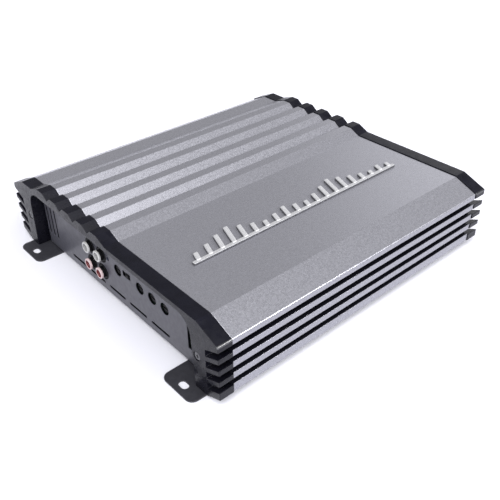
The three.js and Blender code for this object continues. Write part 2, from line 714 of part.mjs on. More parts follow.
function makeRcaInsert(y, z, color, name) {
  const ringFace = RCA_FACE_RECESS - GAP - RCA_RING_THICKNESS;
  const ringBack = RCA_FACE_RECESS - GAP;
  const sleeve = RCA_BORE_RADIUS - GAP;
  const depth = RCA_FACE_RECESS + RCA_BORE_DEPTH - RCA_INSERT_SHORTER;
  const holeEnd = depth - RCA_PIN_HOLE_BACK;
  const insert = turnedAtEnd(-1, y, z, [
    [0, depth], [sleeve, depth], [sleeve, ringBack], [RCA_RING_RADIUS, ringBack],
    [RCA_RING_RADIUS, ringFace + EDGE_BEVEL], [RCA_RING_RADIUS - EDGE_BEVEL, ringFace],
    [RCA_PIN_HOLE_RADIUS + 1, ringFace], [RCA_PIN_HOLE_RADIUS, ringFace + 1],
    [RCA_PIN_HOLE_RADIUS, holeEnd], [0, holeEnd],
  ], 20);
  addPart(name, insert, color);
}

function makePot(y, index) {
  const faceRecess = PANEL_RECESS + POT_KNOB_SINK;
  const knobEnd = faceRecess + POT_KNOB_LENGTH;
  const bodyFace = knobEnd + GAP;
  const stemEnd = bodyFace + POT_STEM_LENGTH;
  const shaft = turnedAtEnd(-1, y, POT_Z, [
    [0, faceRecess], [POT_KNOB_RADIUS - EDGE_BEVEL, faceRecess],
    [POT_KNOB_RADIUS, faceRecess + EDGE_BEVEL], [POT_KNOB_RADIUS, knobEnd],
    [POT_STEM_RADIUS, knobEnd], [POT_STEM_RADIUS, stemEnd], [0, stemEnd],
  ], 18);
  const slotHalf = POT_KNOB_RADIUS + CUT_MARGIN;
  const slot = boxAtEnd(-1, faceRecess - CUT_MARGIN, faceRecess + POT_SLOT_DEPTH,
    y - slotHalf, y + slotHalf, POT_Z - POT_SLOT_WIDTH / 2, POT_Z + POT_SLOT_WIDTH / 2);
  addPart(`pot_shaft_${index}`, cut(shaft, [slot]), 0x1b1b1e);

  const half = POT_BODY_SIZE / 2;
  const body = boxAtEnd(-1, bodyFace, bodyFace + POT_BODY_DEPTH,
    y - half, y + half, POT_Z - half, POT_Z + half);
  const boreRadius = POT_STEM_RADIUS + GAP;
  const bore = turnedAtEnd(-1, y, POT_Z, [
    [0, bodyFace - CUT_MARGIN], [boreRadius, bodyFace - CUT_MARGIN],
    [boreRadius, stemEnd + GAP], [0, stemEnd + GAP],
  ], 14);
  addPart(`pot_body_${index}`, cut(body, [bore]), 0x2f5f8a);
}

function makeSwitch() {
  const bodyFace = PANEL_RECESS + PANEL_THICKNESS + GAP;
  const bodyEnd = CONTROL_BOARD_RECESS - GAP;
  const body = boxAtEnd(-1, bodyFace, bodyEnd,
    SWITCH_Y - SWITCH_BODY_WIDTH / 2, SWITCH_Y + SWITCH_BODY_WIDTH / 2,
    SWITCH_Z - SWITCH_BODY_HEIGHT / 2, SWITCH_Z + SWITCH_BODY_HEIGHT / 2);
  const half = SWITCH_LEVER_SIZE / 2;
  const pocketHalf = half + SWITCH_TRAVEL / 2 + GAP;
  const pocketEnd = bodyFace + SWITCH_POCKET_DEPTH;
  const pocket = boxAtEnd(-1, bodyFace - CUT_MARGIN, pocketEnd,
    SWITCH_Y - pocketHalf, SWITCH_Y + pocketHalf, SWITCH_Z - half - GAP, SWITCH_Z + half + GAP);
  addPart('switch_body', cut(body, [pocket]), 0x9b9ca1);
  const leverY = SWITCH_Y - SWITCH_TRAVEL / 2;
  addPart('switch_slider', boxAtEnd(-1, PANEL_RECESS - SWITCH_LEVER_PROUD, pocketEnd - GAP,
    leverY - half, leverY + half, SWITCH_Z - half, SWITCH_Z + half), 0x141417);
}

function makePowerLight() {
  const face = PANEL_RECESS - LED_PROUD;
  const back = CONTROL_BOARD_RECESS - GAP;
  const dome = [0, 30, 60, 90].map((degrees) => {
    const angle = (degrees * Math.PI) / 180;
    return [LED_RADIUS * Math.sin(angle), face + LED_DOME_DEPTH * (1 - Math.cos(angle))];
  });
  const light = turnedAtEnd(-1, LED_Y, LED_Z, [...dome, [LED_RADIUS, back], [0, back]], 14);
  addPart('power_led', light, 0x3a5fc8);
}

// ---- Power end ----

function stripWidth(strip) {
  return strip.positions * strip.pitch + BARRIER_THICKNESS;
}

function terminalCentres(strip) {
  const first = strip.centre - ((strip.positions - 1) * strip.pitch) / 2;
  return Array.from({ length: strip.positions }, (_, i) => first + i * strip.pitch);
}

function makeTerminalStrip(strip, name) {
  const half = stripWidth(strip) / 2;
  const boreRadius = TERMINAL_SHANK_RADIUS + GAP;
  const boreFace = STRIP_FACE_RECESS - CUT_MARGIN;
  const boreEnd = STRIP_FACE_RECESS + TERMINAL_SHANK_LENGTH + GAP;
  const pieces = [boxAtEnd(1, STRIP_FACE_RECESS, STRIP_FACE_RECESS + STRIP_DEPTH,
    strip.centre - half, strip.centre + half, STRIP_BOTTOM, STRIP_TOP)];
  for (let i = 0; i <= strip.positions; i += 1) {
    const y = strip.centre - half + BARRIER_THICKNESS / 2 + i * strip.pitch;
    pieces.push(boxAtEnd(1, BARRIER_RECESS, STRIP_FACE_RECESS + CUT_MARGIN,
      y - BARRIER_THICKNESS / 2, y + BARRIER_THICKNESS / 2, STRIP_BOTTOM, STRIP_TOP));
  }
  const bores = terminalCentres(strip).map((y) => turnedAtEnd(1, y, TERMINAL_SCREW_Z, [
    [0, boreFace], [boreRadius, boreFace], [boreRadius, boreEnd], [0, boreEnd],
  ], 14));
  addPart(name, cut(union(pieces), bores), 0x17171a);
}

function makeTerminalScrew(y, name) {
  const back = STRIP_FACE_RECESS - GAP;
  const face = back - TERMINAL_HEAD_DEPTH;
  const tip = back + TERMINAL_SHANK_LENGTH;
  const screw = turnedAtEnd(1, y, TERMINAL_SCREW_Z, [
    [0, face], [TERMINAL_HEAD_RADIUS - TERMINAL_BEVEL, face],
    [TERMINAL_HEAD_RADIUS, face + TERMINAL_BEVEL], [TERMINAL_HEAD_RADIUS, back],
    [TERMINAL_SHANK_RADIUS, back], [TERMINAL_SHANK_RADIUS, tip], [0, tip],
  ], 16);
  const cross = crossRecessAtEnd(
    1, y, TERMINAL_SCREW_Z, face, TERMINAL_CROSS_REACH, TERMINAL_CROSS_DEPTH);
  addPart(name, cut(screw, cross), 0xb59a55);
}

// Both blades of a fuse, running on from inside its body.
function fuseBlades(z, clearance, length) {
  const start = FUSE_FACE_RECESS + FUSE_BODY_LENGTH;
  return [-1, 1].map((edge) => {
    const y = FUSE_HOLDER_Y + (edge * FUSE_BLADE_SPACING) / 2;
    const halfWidth = FUSE_BLADE_WIDTH / 2 + clearance;
    const halfThickness = FUSE_BLADE_THICKNESS / 2 + clearance;
    return boxAtEnd(1, start - CUT_MARGIN, start + length,
      y - halfWidth, y + halfWidth, z - halfThickness, z + halfThickness);
  });
}

function fuseBody(z, clearance, from) {
  const halfWidth = FUSE_WIDTH / 2 + clearance;
  const halfThickness = FUSE_THICKNESS / 2 + clearance;
  return boxAtEnd(1, from, FUSE_FACE_RECESS + FUSE_BODY_LENGTH + clearance,
    FUSE_HOLDER_Y - halfWidth, FUSE_HOLDER_Y + halfWidth, z - halfThickness, z + halfThickness);
}

function makeFuses() {
  const half = FUSE_HOLDER_WIDTH / 2;
  const holder = boxAtEnd(1, FUSE_HOLDER_RECESS, FUSE_HOLDER_RECESS + FUSE_HOLDER_DEPTH,
    FUSE_HOLDER_Y - half, FUSE_HOLDER_Y + half, STRIP_BOTTOM, FUSE_HOLDER_TOP);
  const pockets = [];
  for (const z of FUSE_CENTRES_Z) {
    pockets.push(fuseBody(z, GAP, FUSE_HOLDER_RECESS - CUT_MARGIN));
    pockets.push(...fuseBlades(z, GAP, FUSE_BLADE_LENGTH + GAP));
  }
  addPart('fuse_holder', cut(holder, pockets), 0x1a1a1d);
  FUSE_CENTRES_Z.forEach((z, i) => {
    const fuse = union([fuseBody(z, 0, FUSE_FACE_RECESS), ...fuseBlades(z, 0, FUSE_BLADE_LENGTH)]);
    addPart(`fuse_${i + 1}`, fuse, 0xb8752a);
  });
}

// ---- Inside ----

function makeBoards() {
  const end = HALF_LENGTH - BOARD_END_GAP;
  const board = box(-end, end, -BOARD_HALF_WIDTH, BOARD_HALF_WIDTH, BOARD_BOTTOM, BOARD_TOP);
  addPart('main_board', board, 0x2c6b3c);
  const lastPot = POT_CENTRES[POT_CENTRES.length - 1];
  const foot = BOARD_TOP + GAP;
  addPart('control_board', boxAtEnd(-1, CONTROL_BOARD_RECESS, CONTROL_BOARD_RECESS + BOARD_THICKNESS,
    lastPot - CONTROL_BOARD_OVERHANG, LED_Y, foot, foot + CONTROL_BOARD_HEIGHT), 0x2c6b3c);
}

function makeToroid() {
  const bottom = BOARD_TOP + GAP;
  const top = bottom + TOROID_HEIGHT;
  const bevel = TOROID_BEVEL;
  addPart('toroid', turnedUpright(TOROID_X, TOROID_Y, [
    [TOROID_INNER_RADIUS, bottom + bevel], [TOROID_INNER_RADIUS + bevel, bottom],
    [TOROID_OUTER_RADIUS - bevel, bottom], [TOROID_OUTER_RADIUS, bottom + bevel],
    [TOROID_OUTER_RADIUS, top - bevel], [TOROID_OUTER_RADIUS - bevel, top],
    [TOROID_INNER_RADIUS + bevel, top], [TOROID_INNER_RADIUS, top - bevel],
    [TOROID_INNER_RADIUS, bottom + bevel],
  ], 24), 0xa8622c);
}

function makeCapacitor([x, y], index) {
  const bottom = BOARD_TOP + GAP;
  const top = bottom + CAPACITOR_HEIGHT;
  addPart(`filter_capacitor_${index}`, turnedUpright(x, y, [
    [0, bottom], [CAPACITOR_RADIUS, bottom], [CAPACITOR_RADIUS, top - 1],
    [CAPACITOR_RADIUS - 1, top], [0, top],
  ], 18), 0x20303f);
}

function makeOutputStage(edge, sideName) {
  const face = WALL_PAD_HALF_GAP - GAP;
  const back = face - TRANSISTOR_THICKNESS;
  TRANSISTOR_X.forEach((x, i) => {
    const y0 = Math.min(edge * face, edge * back);
    const y1 = Math.max(edge * face, edge * back);
    const x0 = x - TRANSISTOR_WIDTH / 2;
    const x1 = x + TRANSISTOR_WIDTH / 2;
    const top = TRANSISTOR_BOTTOM + TRANSISTOR_HEIGHT;
    const transistor = box(x0, x1, y0, y1, TRANSISTOR_BOTTOM, top);
    addPart(`transistor_${sideName}_${i + 1}`, transistor, 0x1c1c1f);
  });
  const centreX = (TRANSISTOR_X[0] + TRANSISTOR_X[1]) / 2;
  const barFace = back - GAP;
  const a = edge * barFace;
  const b = edge * (barFace - CLAMP_THICKNESS);
  addPart(`clamp_bar_${sideName}`, box(centreX - CLAMP_LENGTH / 2, centreX + CLAMP_LENGTH / 2,
    Math.min(a, b), Math.max(a, b), CLAMP_BOTTOM, CLAMP_BOTTOM + CLAMP_HEIGHT), 0x8c8d92);
}

// ---- Badge ----

function makeBadge() {
  const bottom = DECK_HEIGHT - HEATSINK_INSET + GAP;
  const top = bottom + BADGE_THICKNESS;
  const count = BADGE_BAR_HEIGHTS.length;
  const length = count * BADGE_BAR_PITCH;
  const rail = box(-length / 2, length / 2, BADGE_CENTRE_Y - BADGE_RAIL_WIDTH / 2,
    BADGE_CENTRE_Y + BADGE_RAIL_WIDTH / 2, bottom, top);
  const bars = BADGE_BAR_HEIGHTS.map((height, i) => {
    const x = (i + 0.5) * BADGE_BAR_PITCH - length / 2;
    const lean = height * BADGE_BAR_SLANT;
    const half = BADGE_BAR_WIDTH / 2;
    return extrudeAlongZ(shapeFrom([
      [x - half, BADGE_CENTRE_Y], [x + half, BADGE_CENTRE_Y],
      [x + half + lean, BADGE_CENTRE_Y + height], [x - half + lean, BADGE_CENTRE_Y + height],
    ]), bottom, top);
  });
  addPart('badge', union([rail, ...bars]), 0xd8d9dc);
}

makeHeatsink();
makeEndCap(-1, 'end_cap_signal');
makeEndCap(1, 'end_cap_power');
makeBottomPlate();
makeSignalPanel();
makePowerPanel();

makeCapScrew(-1, -1, 'cap_screw_signal_front');
makeCapScrew(-1, 1, 'cap_screw_signal_rear');
makeCapScrew(1, -1, 'cap_screw_power_front');
makeCapScrew(1, 1, 'cap_screw_power_rear');
PLATE_SCREW_X.forEach((x, i) => {
  makePlateScrew(x, -1, `plate_screw_front_${i + 1}`);
  makePlateScrew(x, 1, `plate_screw_rear_${i + 1}`);
});

makeRcaBlock();
RCA_COLUMNS.forEach((y, i) => {
  makeRcaInsert(y, RCA_ROWS[0], 0xe4e2dc, `rca_insert_white_${i + 1}`);
  makeRcaInsert(y, RCA_ROWS[1], 0x9b2430, `rca_insert_red_${i + 1}`);
});
POT_CENTRES.forEach((y, i) => makePot(y, i + 1));
makeSwitch();
makePowerLight();

makeTerminalStrip(POWER_STRIP, 'power_terminal_strip');
makeTerminalStrip(SPEAKER_STRIP, 'speaker_terminal_strip');
terminalCentres(POWER_STRIP).forEach((y, i) => makeTerminalScrew(y, `power_terminal_screw_${i + 1}`));
terminalCentres(SPEAKER_STRIP).forEach((y, i) => makeTerminalScrew(y, `speaker_terminal_screw_${i + 1}`));
makeFuses();

makeBoards();
makeToroid();
CAPACITOR_CENTRES.forEach((centre, i) => makeCapacitor(centre, i + 1));
makeOutputStage(-1, 'front');
makeOutputStage(1, 'rear');
makeBadge();

export default group;
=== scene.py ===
"""Looks of the car amplifier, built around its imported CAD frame.

Every length in this script is in millimetres until a mesh is made. +X runs from the signal end to
the power end, +Y from the front edge to the rear edge, and +Z is up, as in the frame.
"""

import json
import math

import bmesh
import bpy
from mathutils import Matrix, Vector
from mathutils.geometry import tessellate_polygon

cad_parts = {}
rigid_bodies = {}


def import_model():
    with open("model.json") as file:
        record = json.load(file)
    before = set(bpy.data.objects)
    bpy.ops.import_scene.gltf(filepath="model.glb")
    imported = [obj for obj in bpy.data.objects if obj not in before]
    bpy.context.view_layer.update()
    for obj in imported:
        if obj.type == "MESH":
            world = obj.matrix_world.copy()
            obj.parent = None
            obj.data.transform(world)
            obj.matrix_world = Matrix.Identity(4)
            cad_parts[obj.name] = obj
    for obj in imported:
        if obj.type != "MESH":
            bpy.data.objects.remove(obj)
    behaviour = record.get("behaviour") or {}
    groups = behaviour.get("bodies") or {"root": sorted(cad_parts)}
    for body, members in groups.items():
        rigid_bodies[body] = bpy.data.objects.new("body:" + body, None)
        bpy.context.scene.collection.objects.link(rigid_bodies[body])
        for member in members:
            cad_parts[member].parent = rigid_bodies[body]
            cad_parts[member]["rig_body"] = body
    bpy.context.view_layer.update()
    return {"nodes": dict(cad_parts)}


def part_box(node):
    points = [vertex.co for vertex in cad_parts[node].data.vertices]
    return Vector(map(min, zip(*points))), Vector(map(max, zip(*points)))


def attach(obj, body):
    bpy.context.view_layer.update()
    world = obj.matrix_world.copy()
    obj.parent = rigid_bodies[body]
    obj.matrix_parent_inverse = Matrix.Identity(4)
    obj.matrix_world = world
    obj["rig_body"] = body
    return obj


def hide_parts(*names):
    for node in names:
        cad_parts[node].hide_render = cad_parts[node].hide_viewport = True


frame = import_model()

MM = 0.001

ENDS = {"signal": -1, "power": 1}
EDGES = ("front", "rear")
SOCKETS = {colour: [f"rca_insert_{colour}_{i}" for i in (1, 2)] for colour in ("white", "red")}
POT_NODES = [f"pot_shaft_{i}" for i in (1, 2, 3, 4)]
PLATE_SCREWS = [f"plate_screw_{edge}_{i}" for edge in EDGES for i in (1, 2, 3)]
TERMINAL_SCREWS = [f"power_terminal_screw_{i}" for i in (1, 2, 3)]
TERMINAL_SCREWS += [f"speaker_terminal_screw_{i}" for i in (1, 2, 3, 4)]


def box_mm(node):
    """Lowest and highest corner of a CAD node."""
    low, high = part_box(node)
    return low / MM, high / MM


def piece_centre(node):
    """The (y, z) middle of a node at one end of the body."""
    low, high = box_mm(node)
    return Vector(((low.y + high.y) / 2, (low.z + high.z) / 2))


# ---- Driving dimensions ----

HALF_LENGTH = box_mm("end_cap_power")[1].x
CAP_DEPTH = HALF_LENGTH - box_mm("end_cap_power")[0].x
HEATSINK_DEPTH = HALF_LENGTH - box_mm("heatsink")[1].x
HALF_WIDTH = box_mm("end_cap_power")[1].y
DECK_HEIGHT = box_mm("badge")[0].z
RCA_CENTRES = [piece_centre(node) for nodes in SOCKETS.values() for node in nodes]

# Kinds of corner in the body's outline, by where they are
TOP_ZONE_HEIGHT = DECK_HEIGHT - 2
LIP_ZONE_WIDTH = HALF_WIDTH - 2
LIP_ZONE_HEIGHT = 43
FIN_ZONE_WIDTH = 105

# How round they are
LIP_RADIUS = 1.1
REAR_LIP_RADIUS = 2.2
TOP_RADIUS = 0.7
FIN_RADIUS = 0.2
SMALL_RADIUS = 0.3
SMOOTHING_RADIUS = 9
SHALLOW_TURN = math.radians(30)
END_ROUNDING = 0.3
PORT_EDGE = 0.2

# Signal panel
PANEL_THICKNESS = 1
PANEL_BEND_RADIUS = 2.4
PANEL_BEND_STEPS = 8
PANEL_TOP_CORNER = 9
PANEL_EDGE = 0.15
SIGNAL_PANEL_STEP = (-80.4, 14)
RCA_HOLE_RADIUS = 6
POT_HOLE_RADIUS = 4.2
LED_HOLE_RADIUS = 1.4
SWITCH_SLOT = (8.6, 4.2)
SWITCH_SLOT_CORNER = 0.4
LOW_VENTS = [(y, 9.1, 19.5, 2) for y in (48.2, 23.4, -1.4, -26.2, -51)]
SIDE_VENTS = [(y, 26.05, 2, 26.5) for y in (78.5, 84.2, 89.9)]

# RCA sockets. Profiles are [(radius, depth behind the face)].
BLOCK_GAP = 0.3
BLOCK_CORNER = 0.8
BLOCK_EDGE = 0.4
RCA_BORE = 3.1
RCA_BORE_EDGE = 0.2
RCA_BARREL = 4
RCA_BARREL_EDGE = 0.3
RCA_COLLAR = 5.3
RCA_COLLAR_EDGE = 0.4
RCA_COLLAR_PROUD = 0.3
INSERT_BORE = 1.7
INSERT_SLEEVE = 2.8
INSERT_RING_DEPTH = 1.4
INSERT_THROAT = [(1.7, 2.4), (1.7, 1.5), (1.9, 1), (2.75, 0.75), (2.85, 0.2), (3.1, 0), (3.7, 0.03)]
INSERT_RIM = [(-0.12, 0.2), (0, 0.5)]

# Rotary controls and power light. An edge is [(change of radius, depth behind the face)].
POT_EDGE = [(-0.55, 0), (-0.15, 0.1), (0, 0.4)]
POT_KNOB_DEPTH = 4
POT_STEM_RADIUS = 1.8
POT_SLOT_WIDTH = 1
POT_SLOT_MARGIN = 0.75
POT_SLOT_CORNER = 0.2
POT_SLOT_LEVELS = [(1.05, 0), (1, 0.12), (0.96, 1.2)]
LED_DOME_HEIGHT = 1
LED_DOME_STEPS = 8

# Bottom plate
PLATE_INSET = 11.5
PLATE_CORNER = 1
PLATE_EDGE = 0.22
TAB_Y = 92
TAB_HALF_WIDTH = 14.8
TAB_CORNER = 5.2
TAB_CORNER_STEPS = 8
TAB_SLOT = (4.9, 7.4)
TAB_SLOT_OUT = 4.7
TAB_SLOT_EDGE = 0.2
PLATE_HOLE_RADIUS = 1.8
PLATE_HOLE_WIDENING = 1.2
PLATE_HOLE_DEPTHS = (0.3, 1.1)

# Holes for the cap screws
CAP_HOLE_RADIUS = 3
CAP_HOLE_SHANK = 1.8
CAP_HOLE_EDGE = 0.15
CAP_HOLE_RIM = 0.7
CAP_HOLE_NECK = 1.9

# Screws, by finish. A crown is [(change of radius, depth behind the face)].
SCREWS = {
    "black_screw": {
        "crown": [(-0.45, 0), (-0.16, 0.05), (0, 0.2), (0, 0.35)],
        "shank": 1.5, "neck": 1.6, "point": 1, "taper": 0.7, "cross": 1.6, "cross_depth": 1,
    },
    "plated_screw": {
        "crown": [(-0.4, 0), (-0.12, 0.04), (0, 0.15)],
        "shank": 1.5, "neck": 0.95, "point": 0.8, "taper": 0.6, "cross": 1.5, "cross_depth": 0.75,
    },
    "terminal_brass": {
        "crown": [(-1.3, 0), (-0.6, 0.16), (-0.15, 0.55), (0, 1), (0, 2.2), (-0.2, 2.4)],
        "shank": 2, "neck": 2.4, "point": 0.8, "taper": 0.8, "cross": 2.4, "cross_depth": 1.4,
    },
}
CROSS_HALF_WIDTH = 0.4
CROSS_ROUNDING = 0.18
CROSS_CORNER_STEPS = 3
CROSS_LIP = 0.1
CROSS_SCALES = (1.06, 0.98, 0.55)

# Deck badge. A top is [(depth below the top, growth)].
BADGE_RAIL_Y = -60
BADGE_RAIL_WIDTH = 3
BADGE_RAIL_CORNER = 0.6
BADGE_RAIL_TOP = [(0.7, 0), (0.5, -0.1), (0.4, -0.3)]
BAR_PITCH = 9.4
BAR_WIDTH = 3.8
BAR_SLANT = 0.35
BAR_CORNER = 0.9
BAR_TOP = [(0.9, 0), (0.45, -0.14), (0.15, -0.42), (0, -0.85)]
BAR_HEIGHTS = [8, 11, 15, 18, 14, 10, 7, 9, 12, 9, 7, 10, 14, 18, 15, 11, 8, 6, 8, 6]

# CAD nodes that keep their own shape: their finish and how round their edges become
ROUNDED_NODES = {
    "power_panel": ("panel_grey", 0.15),
    "switch_body": ("switch_steel", 0.3),
    "switch_slider": ("control_black", 0.35),
    "power_terminal_strip": ("black_plastic", 0.35),
    "speaker_terminal_strip": ("black_plastic", 0.35),
    "fuse_holder": ("black_plastic", 0.5),
    "fuse_1": ("fuse_amber", 0.3),
    "fuse_2": ("fuse_amber", 0.3),
    "main_board": ("board_green", 0.15),
    "control_board": ("board_green", 0.15),
    "toroid": ("winding_copper", 0.8),
    "clamp_bar_front": ("clamp_steel", 0.3),
    "clamp_bar_rear": ("clamp_steel", 0.3),
    **{f"pot_body_{i}": ("pot_blue", 0.4) for i in (1, 2, 3, 4)},
    **{f"filter_capacitor_{i}": ("capacitor_sleeve", 0.6) for i in (1, 2, 3, 4)},
    **{f"transistor_{edge}_{i}": ("transistor_black", 0.4) for edge in EDGES for i in (1, 2)},
}

# How finely curves are drawn
CORNER_STEPS = 5
CIRCLE_STEPS = 48
RIM_STEPS = 2
BEVEL_SEGMENTS = 2
SHARP_ANGLE = 32
SOFT_SHARP_ANGLE = 50
DOME_SHARP_ANGLE = 60
BEVEL_ANGLE = math.radians(35)
FLAT_ANGLE = math.radians(1)
ARC_SHARE = 0.48
MITRE_LIMIT = 0.3

# Tolerances: a turn's sine, then distances in the unit of what they compare
STRAIGHT = 1e-3
SAME_PLACE = 1e-6
SAME_POINT = 1e-7
NO_LENGTH = 1e-8

# View
LENS = 48.24
SENSOR = 36
CLIP_DISTANCES = (10, 50000)
VIEW_AZIMUTH = math.radians(-41.11)
VIEW_ELEVATION = math.radians(34.86)
VIEW_ROLL = math.radians(-0.55)
VIEW_TARGET = Vector((-38.2, -47.6, 31.3))
VIEW_DISTANCE = 449.6

# Light
KEY = {"direction": (-0.1, -0.67, 0.73), "strength": 3.3, "spread": 78}
FILL = {"direction": (-0.5, -0.2, 0.85), "strength": 2.4, "spread": 52}
EDGE = {"direction": (0.5, -0.72, 0.46), "strength": 1.4, "spread": 10}
BRIGHT_SIDE = (0.88, 0.35, 0.3)
BRIGHT_SIDE_START = 0.91
ROOM_GLOW = 0.26
SIDE_GLOW = 1.25
ROOM_COLOUR = (0.98, 0.98, 1)

# Floor
FLOOR_REACH = 6000
FLOOR_DROP = 0.05
FLOOR_COLOUR = (0.70, 0.70, 0.76)

# Heatsink coat, with painted shade in the grooves below a height and a little way behind the tips of the
# fins, where it is less shiny too. The fins' front faces get only a share of the coat, which is painted
# shade
COAT_COLOUR = (0.405, 0.405, 0.45)
# Near-black colour in the grooves: painted shade
GROOVE_PAINTED_SHADE = (0.012, 0.012, 0.018)
COAT_METALLIC = 0.75
COAT_SPECULAR = (0.08, 0.5)
GROOVE_SHADE_TOP = (45, 45.6)
# Share of the coat on the fins' front faces: painted shade that dims them
FIN_TIP_SHADED_COAT = 0.72
FIN_COAT_START = HALF_WIDTH - 0.85
FIN_COAT_END = HALF_WIDTH - 0.6

# Other finishes: painted shade on recessed, cut and inner surfaces, down the badge's sides and between the
# winding's turns, and where one look changes to another
CAP_SPECULAR = (0.2, 1.3)
CAP_LIP_WIDTHS = (HALF_WIDTH - 1.2, HALF_WIDTH - 0.8)
CAP_LIP_HEIGHTS = (45.1, 45.4)
# Near-black colour and low shine behind the outer face: painted shade on cut edges, recesses and backs
RECESS_PAINTED_SHADE = (0.006, 0.006, 0.008)
RECESS_SHADE_SPECULAR = (0.1, 0.5)
RECESS_SHADE_DEPTHS = (0.3, 0.2)
# Dark colour down the badge's sides: painted shade
BADGE_SIDE_SHADE = (0.09, 0.09, 0.1)
BADGE_TOP_DEPTHS = (0.75, 0.35)
SOCKET_RIM = {"white": (0.5, 0.5, 0.5), "red": (0.56, 0.44, 0.45)}
SOCKET_THROAT_RADII = (2.9, 3)
BOARD_TRACK = (0.02, 0.09, 0.04)
BOARD_TRACKS = {"Scale": 110, "Mortar Size": 0.018, "Brick Width": 0.7, "Row Height": 0.28}
# Darker copper between the turns of the winding: painted shade
WINDING_PAINTED_SHADE = (0.2, 0.07, 0.02)
WINDING_TURNS = 90

# Noise: the part of its range that is used, and the Mix node's colour sockets
NOISE_RANGE = (0.32, 0.68)
MIX_COLOUR_INPUTS = (6, 7)
MIX_COLOUR_OUTPUT = 2


# ---- Outlines ----

UNIT_SQUARE = ((-1, -1), (1, -1), (1, 1), (-1, 1))


def circle(y, z, radius):
    """A circle as (y, z) points."""
    angles = [math.tau * i / CIRCLE_STEPS for i in range(CIRCLE_STEPS)]
    return [Vector((y + radius * math.cos(angle), z + radius * math.sin(angle))) for angle in angles]


def rounded(points, radius_of, steps=CORNER_STEPS):
    """The outline with its corners turned into arcs. radius_of(corner, turn) gives each one's radius."""
    outline = []
    count = len(points)
    for i, corner in enumerate(points):
        to_before = points[i - 1] - corner
        to_after = points[(i + 1) % count] - corner
        a = to_before.normalized()
        b = to_after.normalized()
        between = a.angle(b)
        turn = math.pi - between
        if turn < FLAT_ANGLE:
            outline.append(corner)
            continue
        reach = radius_of(corner, turn) / math.tan(between / 2)
        reach = min(reach, ARC_SHARE * to_before.length, ARC_SHARE * to_after.length)
        radius = reach * math.tan(between / 2)
        centre = corner + (a + b).normalized() * (radius / math.sin(between / 2))
        start = corner + a * reach - centre
        side = 1 if a.cross(b) < 0 else -1
        for k in range(steps + 1):
            outline.append(centre + start @ Matrix.Rotation(-side * turn * k / steps, 2))
    return outline


def evenly_rounded(points, radius, steps=CORNER_STEPS):
    """The outline with the same radius at every corner."""
    return rounded([Vector(point) for point in points], lambda _corner, _turn: radius, steps)


def rectangle(y, z, width, height, corner):
    """A rectangle with round corners about (y, z)."""
    return evenly_rounded([(y + dy * width / 2, z + dz * height / 2) for dy, dz in UNIT_SQUARE], corner)


def slot_outline(y, z, width, height):
    """A slot with fully round ends."""
    return rectangle(y, z, width, height, corner=min(width, height) / 2)


def signed_area(points):
    """The area inside an outline, negative where it runs clockwise."""
    return sum(a.cross(b) for a, b in zip(points, points[1:] + points[:1])) / 2


def grown(points, distance):
    """The outline moved outwards from its own inside by distance, or inwards if it is negative."""
    if signed_area(points) < 0:
        distance = -distance
    moved = []
    count = len(points)
    for i, point in enumerate(points):
        a = (point - points[i - 1]).normalized()
        b = (points[(i + 1) % count] - point).normalized()
        normal_a = Vector((a.y, -a.x))
        normal_b = Vector((b.y, -b.x))
        middle = (normal_a + normal_b).normalized()
        moved.append(point + middle * (distance / max(MITRE_LIMIT, middle.dot(normal_a))))
    return moved


def without_straights(points):
    """The outline without the points in the middle of a straight stretch."""
    kept = []
    count = len(points)
    for i, point in enumerate(points):
        a = (point - points[i - 1]).normalized()
        b = (points[(i + 1) % count] - point).normalized()
        if abs(a.cross(b)) > STRAIGHT:
            kept.append(point)
    return kept


def end_face_outlines(node, side):
    """The (y, z) outlines of the flat end of a CAD node, the largest first."""
    low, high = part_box(node)
    plane = high.x if side > 0 else low.x
    mesh = bmesh.new()
    mesh.from_mesh(frame["nodes"][node].data)
    bmesh.ops.remove_doubles(mesh, verts=mesh.verts, dist=SAME_PLACE)
    on_plane = {f for f in mesh.faces if all(abs(v.co.x - plane) < SAME_PLACE for v in f.verts)}
    rim = [e for e in mesh.edges if sum(f in on_plane for f in e.link_faces) == 1]
    outlines = []
    while rim:
        edge = rim.pop(0)
        start, vertex = edge.verts
        loop = [start]
        while vertex is not start:
            loop.append(vertex)
            edge = next(e for e in vertex.link_edges if e in rim)
            rim.remove(edge)
            vertex = edge.other_vert(vertex)
        outlines.append([Vector((v.co.y, v.co.z)) / MM for v in loop])
    mesh.free()
    return sorted((without_straights(o) for o in outlines), key=lambda o: -abs(signed_area(o)))


def body_corner_radius(corner, turn):
    """How round each (y, z) corner of the body's outline is."""
    across, height = corner
    if turn < SHALLOW_TURN and height < TOP_ZONE_HEIGHT:
        return SMOOTHING_RADIUS
    if abs(across) > LIP_ZONE_WIDTH and height > LIP_ZONE_HEIGHT:
        return REAR_LIP_RADIUS if across > 0 else LIP_RADIUS
    if height > TOP_ZONE_HEIGHT:
        return TOP_RADIUS
    return FIN_RADIUS if abs(across) > FIN_ZONE_WIDTH else SMALL_RADIUS


# ---- Meshes ----

def at_end(side):
    """Places (y, z, depth inwards) at one end of the body."""
    return lambda y, z, depth: Vector((side * (HALF_LENGTH - depth), y, z))


def upright(x, y, height):
    """Places a level outline at a height."""
    return Vector((x, y, height))


def edge_profile(start, end, rounding, outwards):
    """[(depth, growth)] of a wall from start to end, its two rims rounded."""
    way = 1 if end > start else -1
    rim = []
    for k in range(RIM_STEPS + 1):
        angle = math.pi / 2 * k / RIM_STEPS
        rim.append((rounding * (1 - math.cos(angle)), outwards * rounding * (1 - math.sin(angle))))
    first = [(start + way * d, g) for d, g in rim]
    last = [(end - way * d, g) for d, g in reversed(rim)]
    return first + last


def shifted(profile, radius, face):
    """[(radius, depth)] from [(change of radius, depth behind the face)]."""
    return [(radius + change, face + depth) for change, depth in profile]


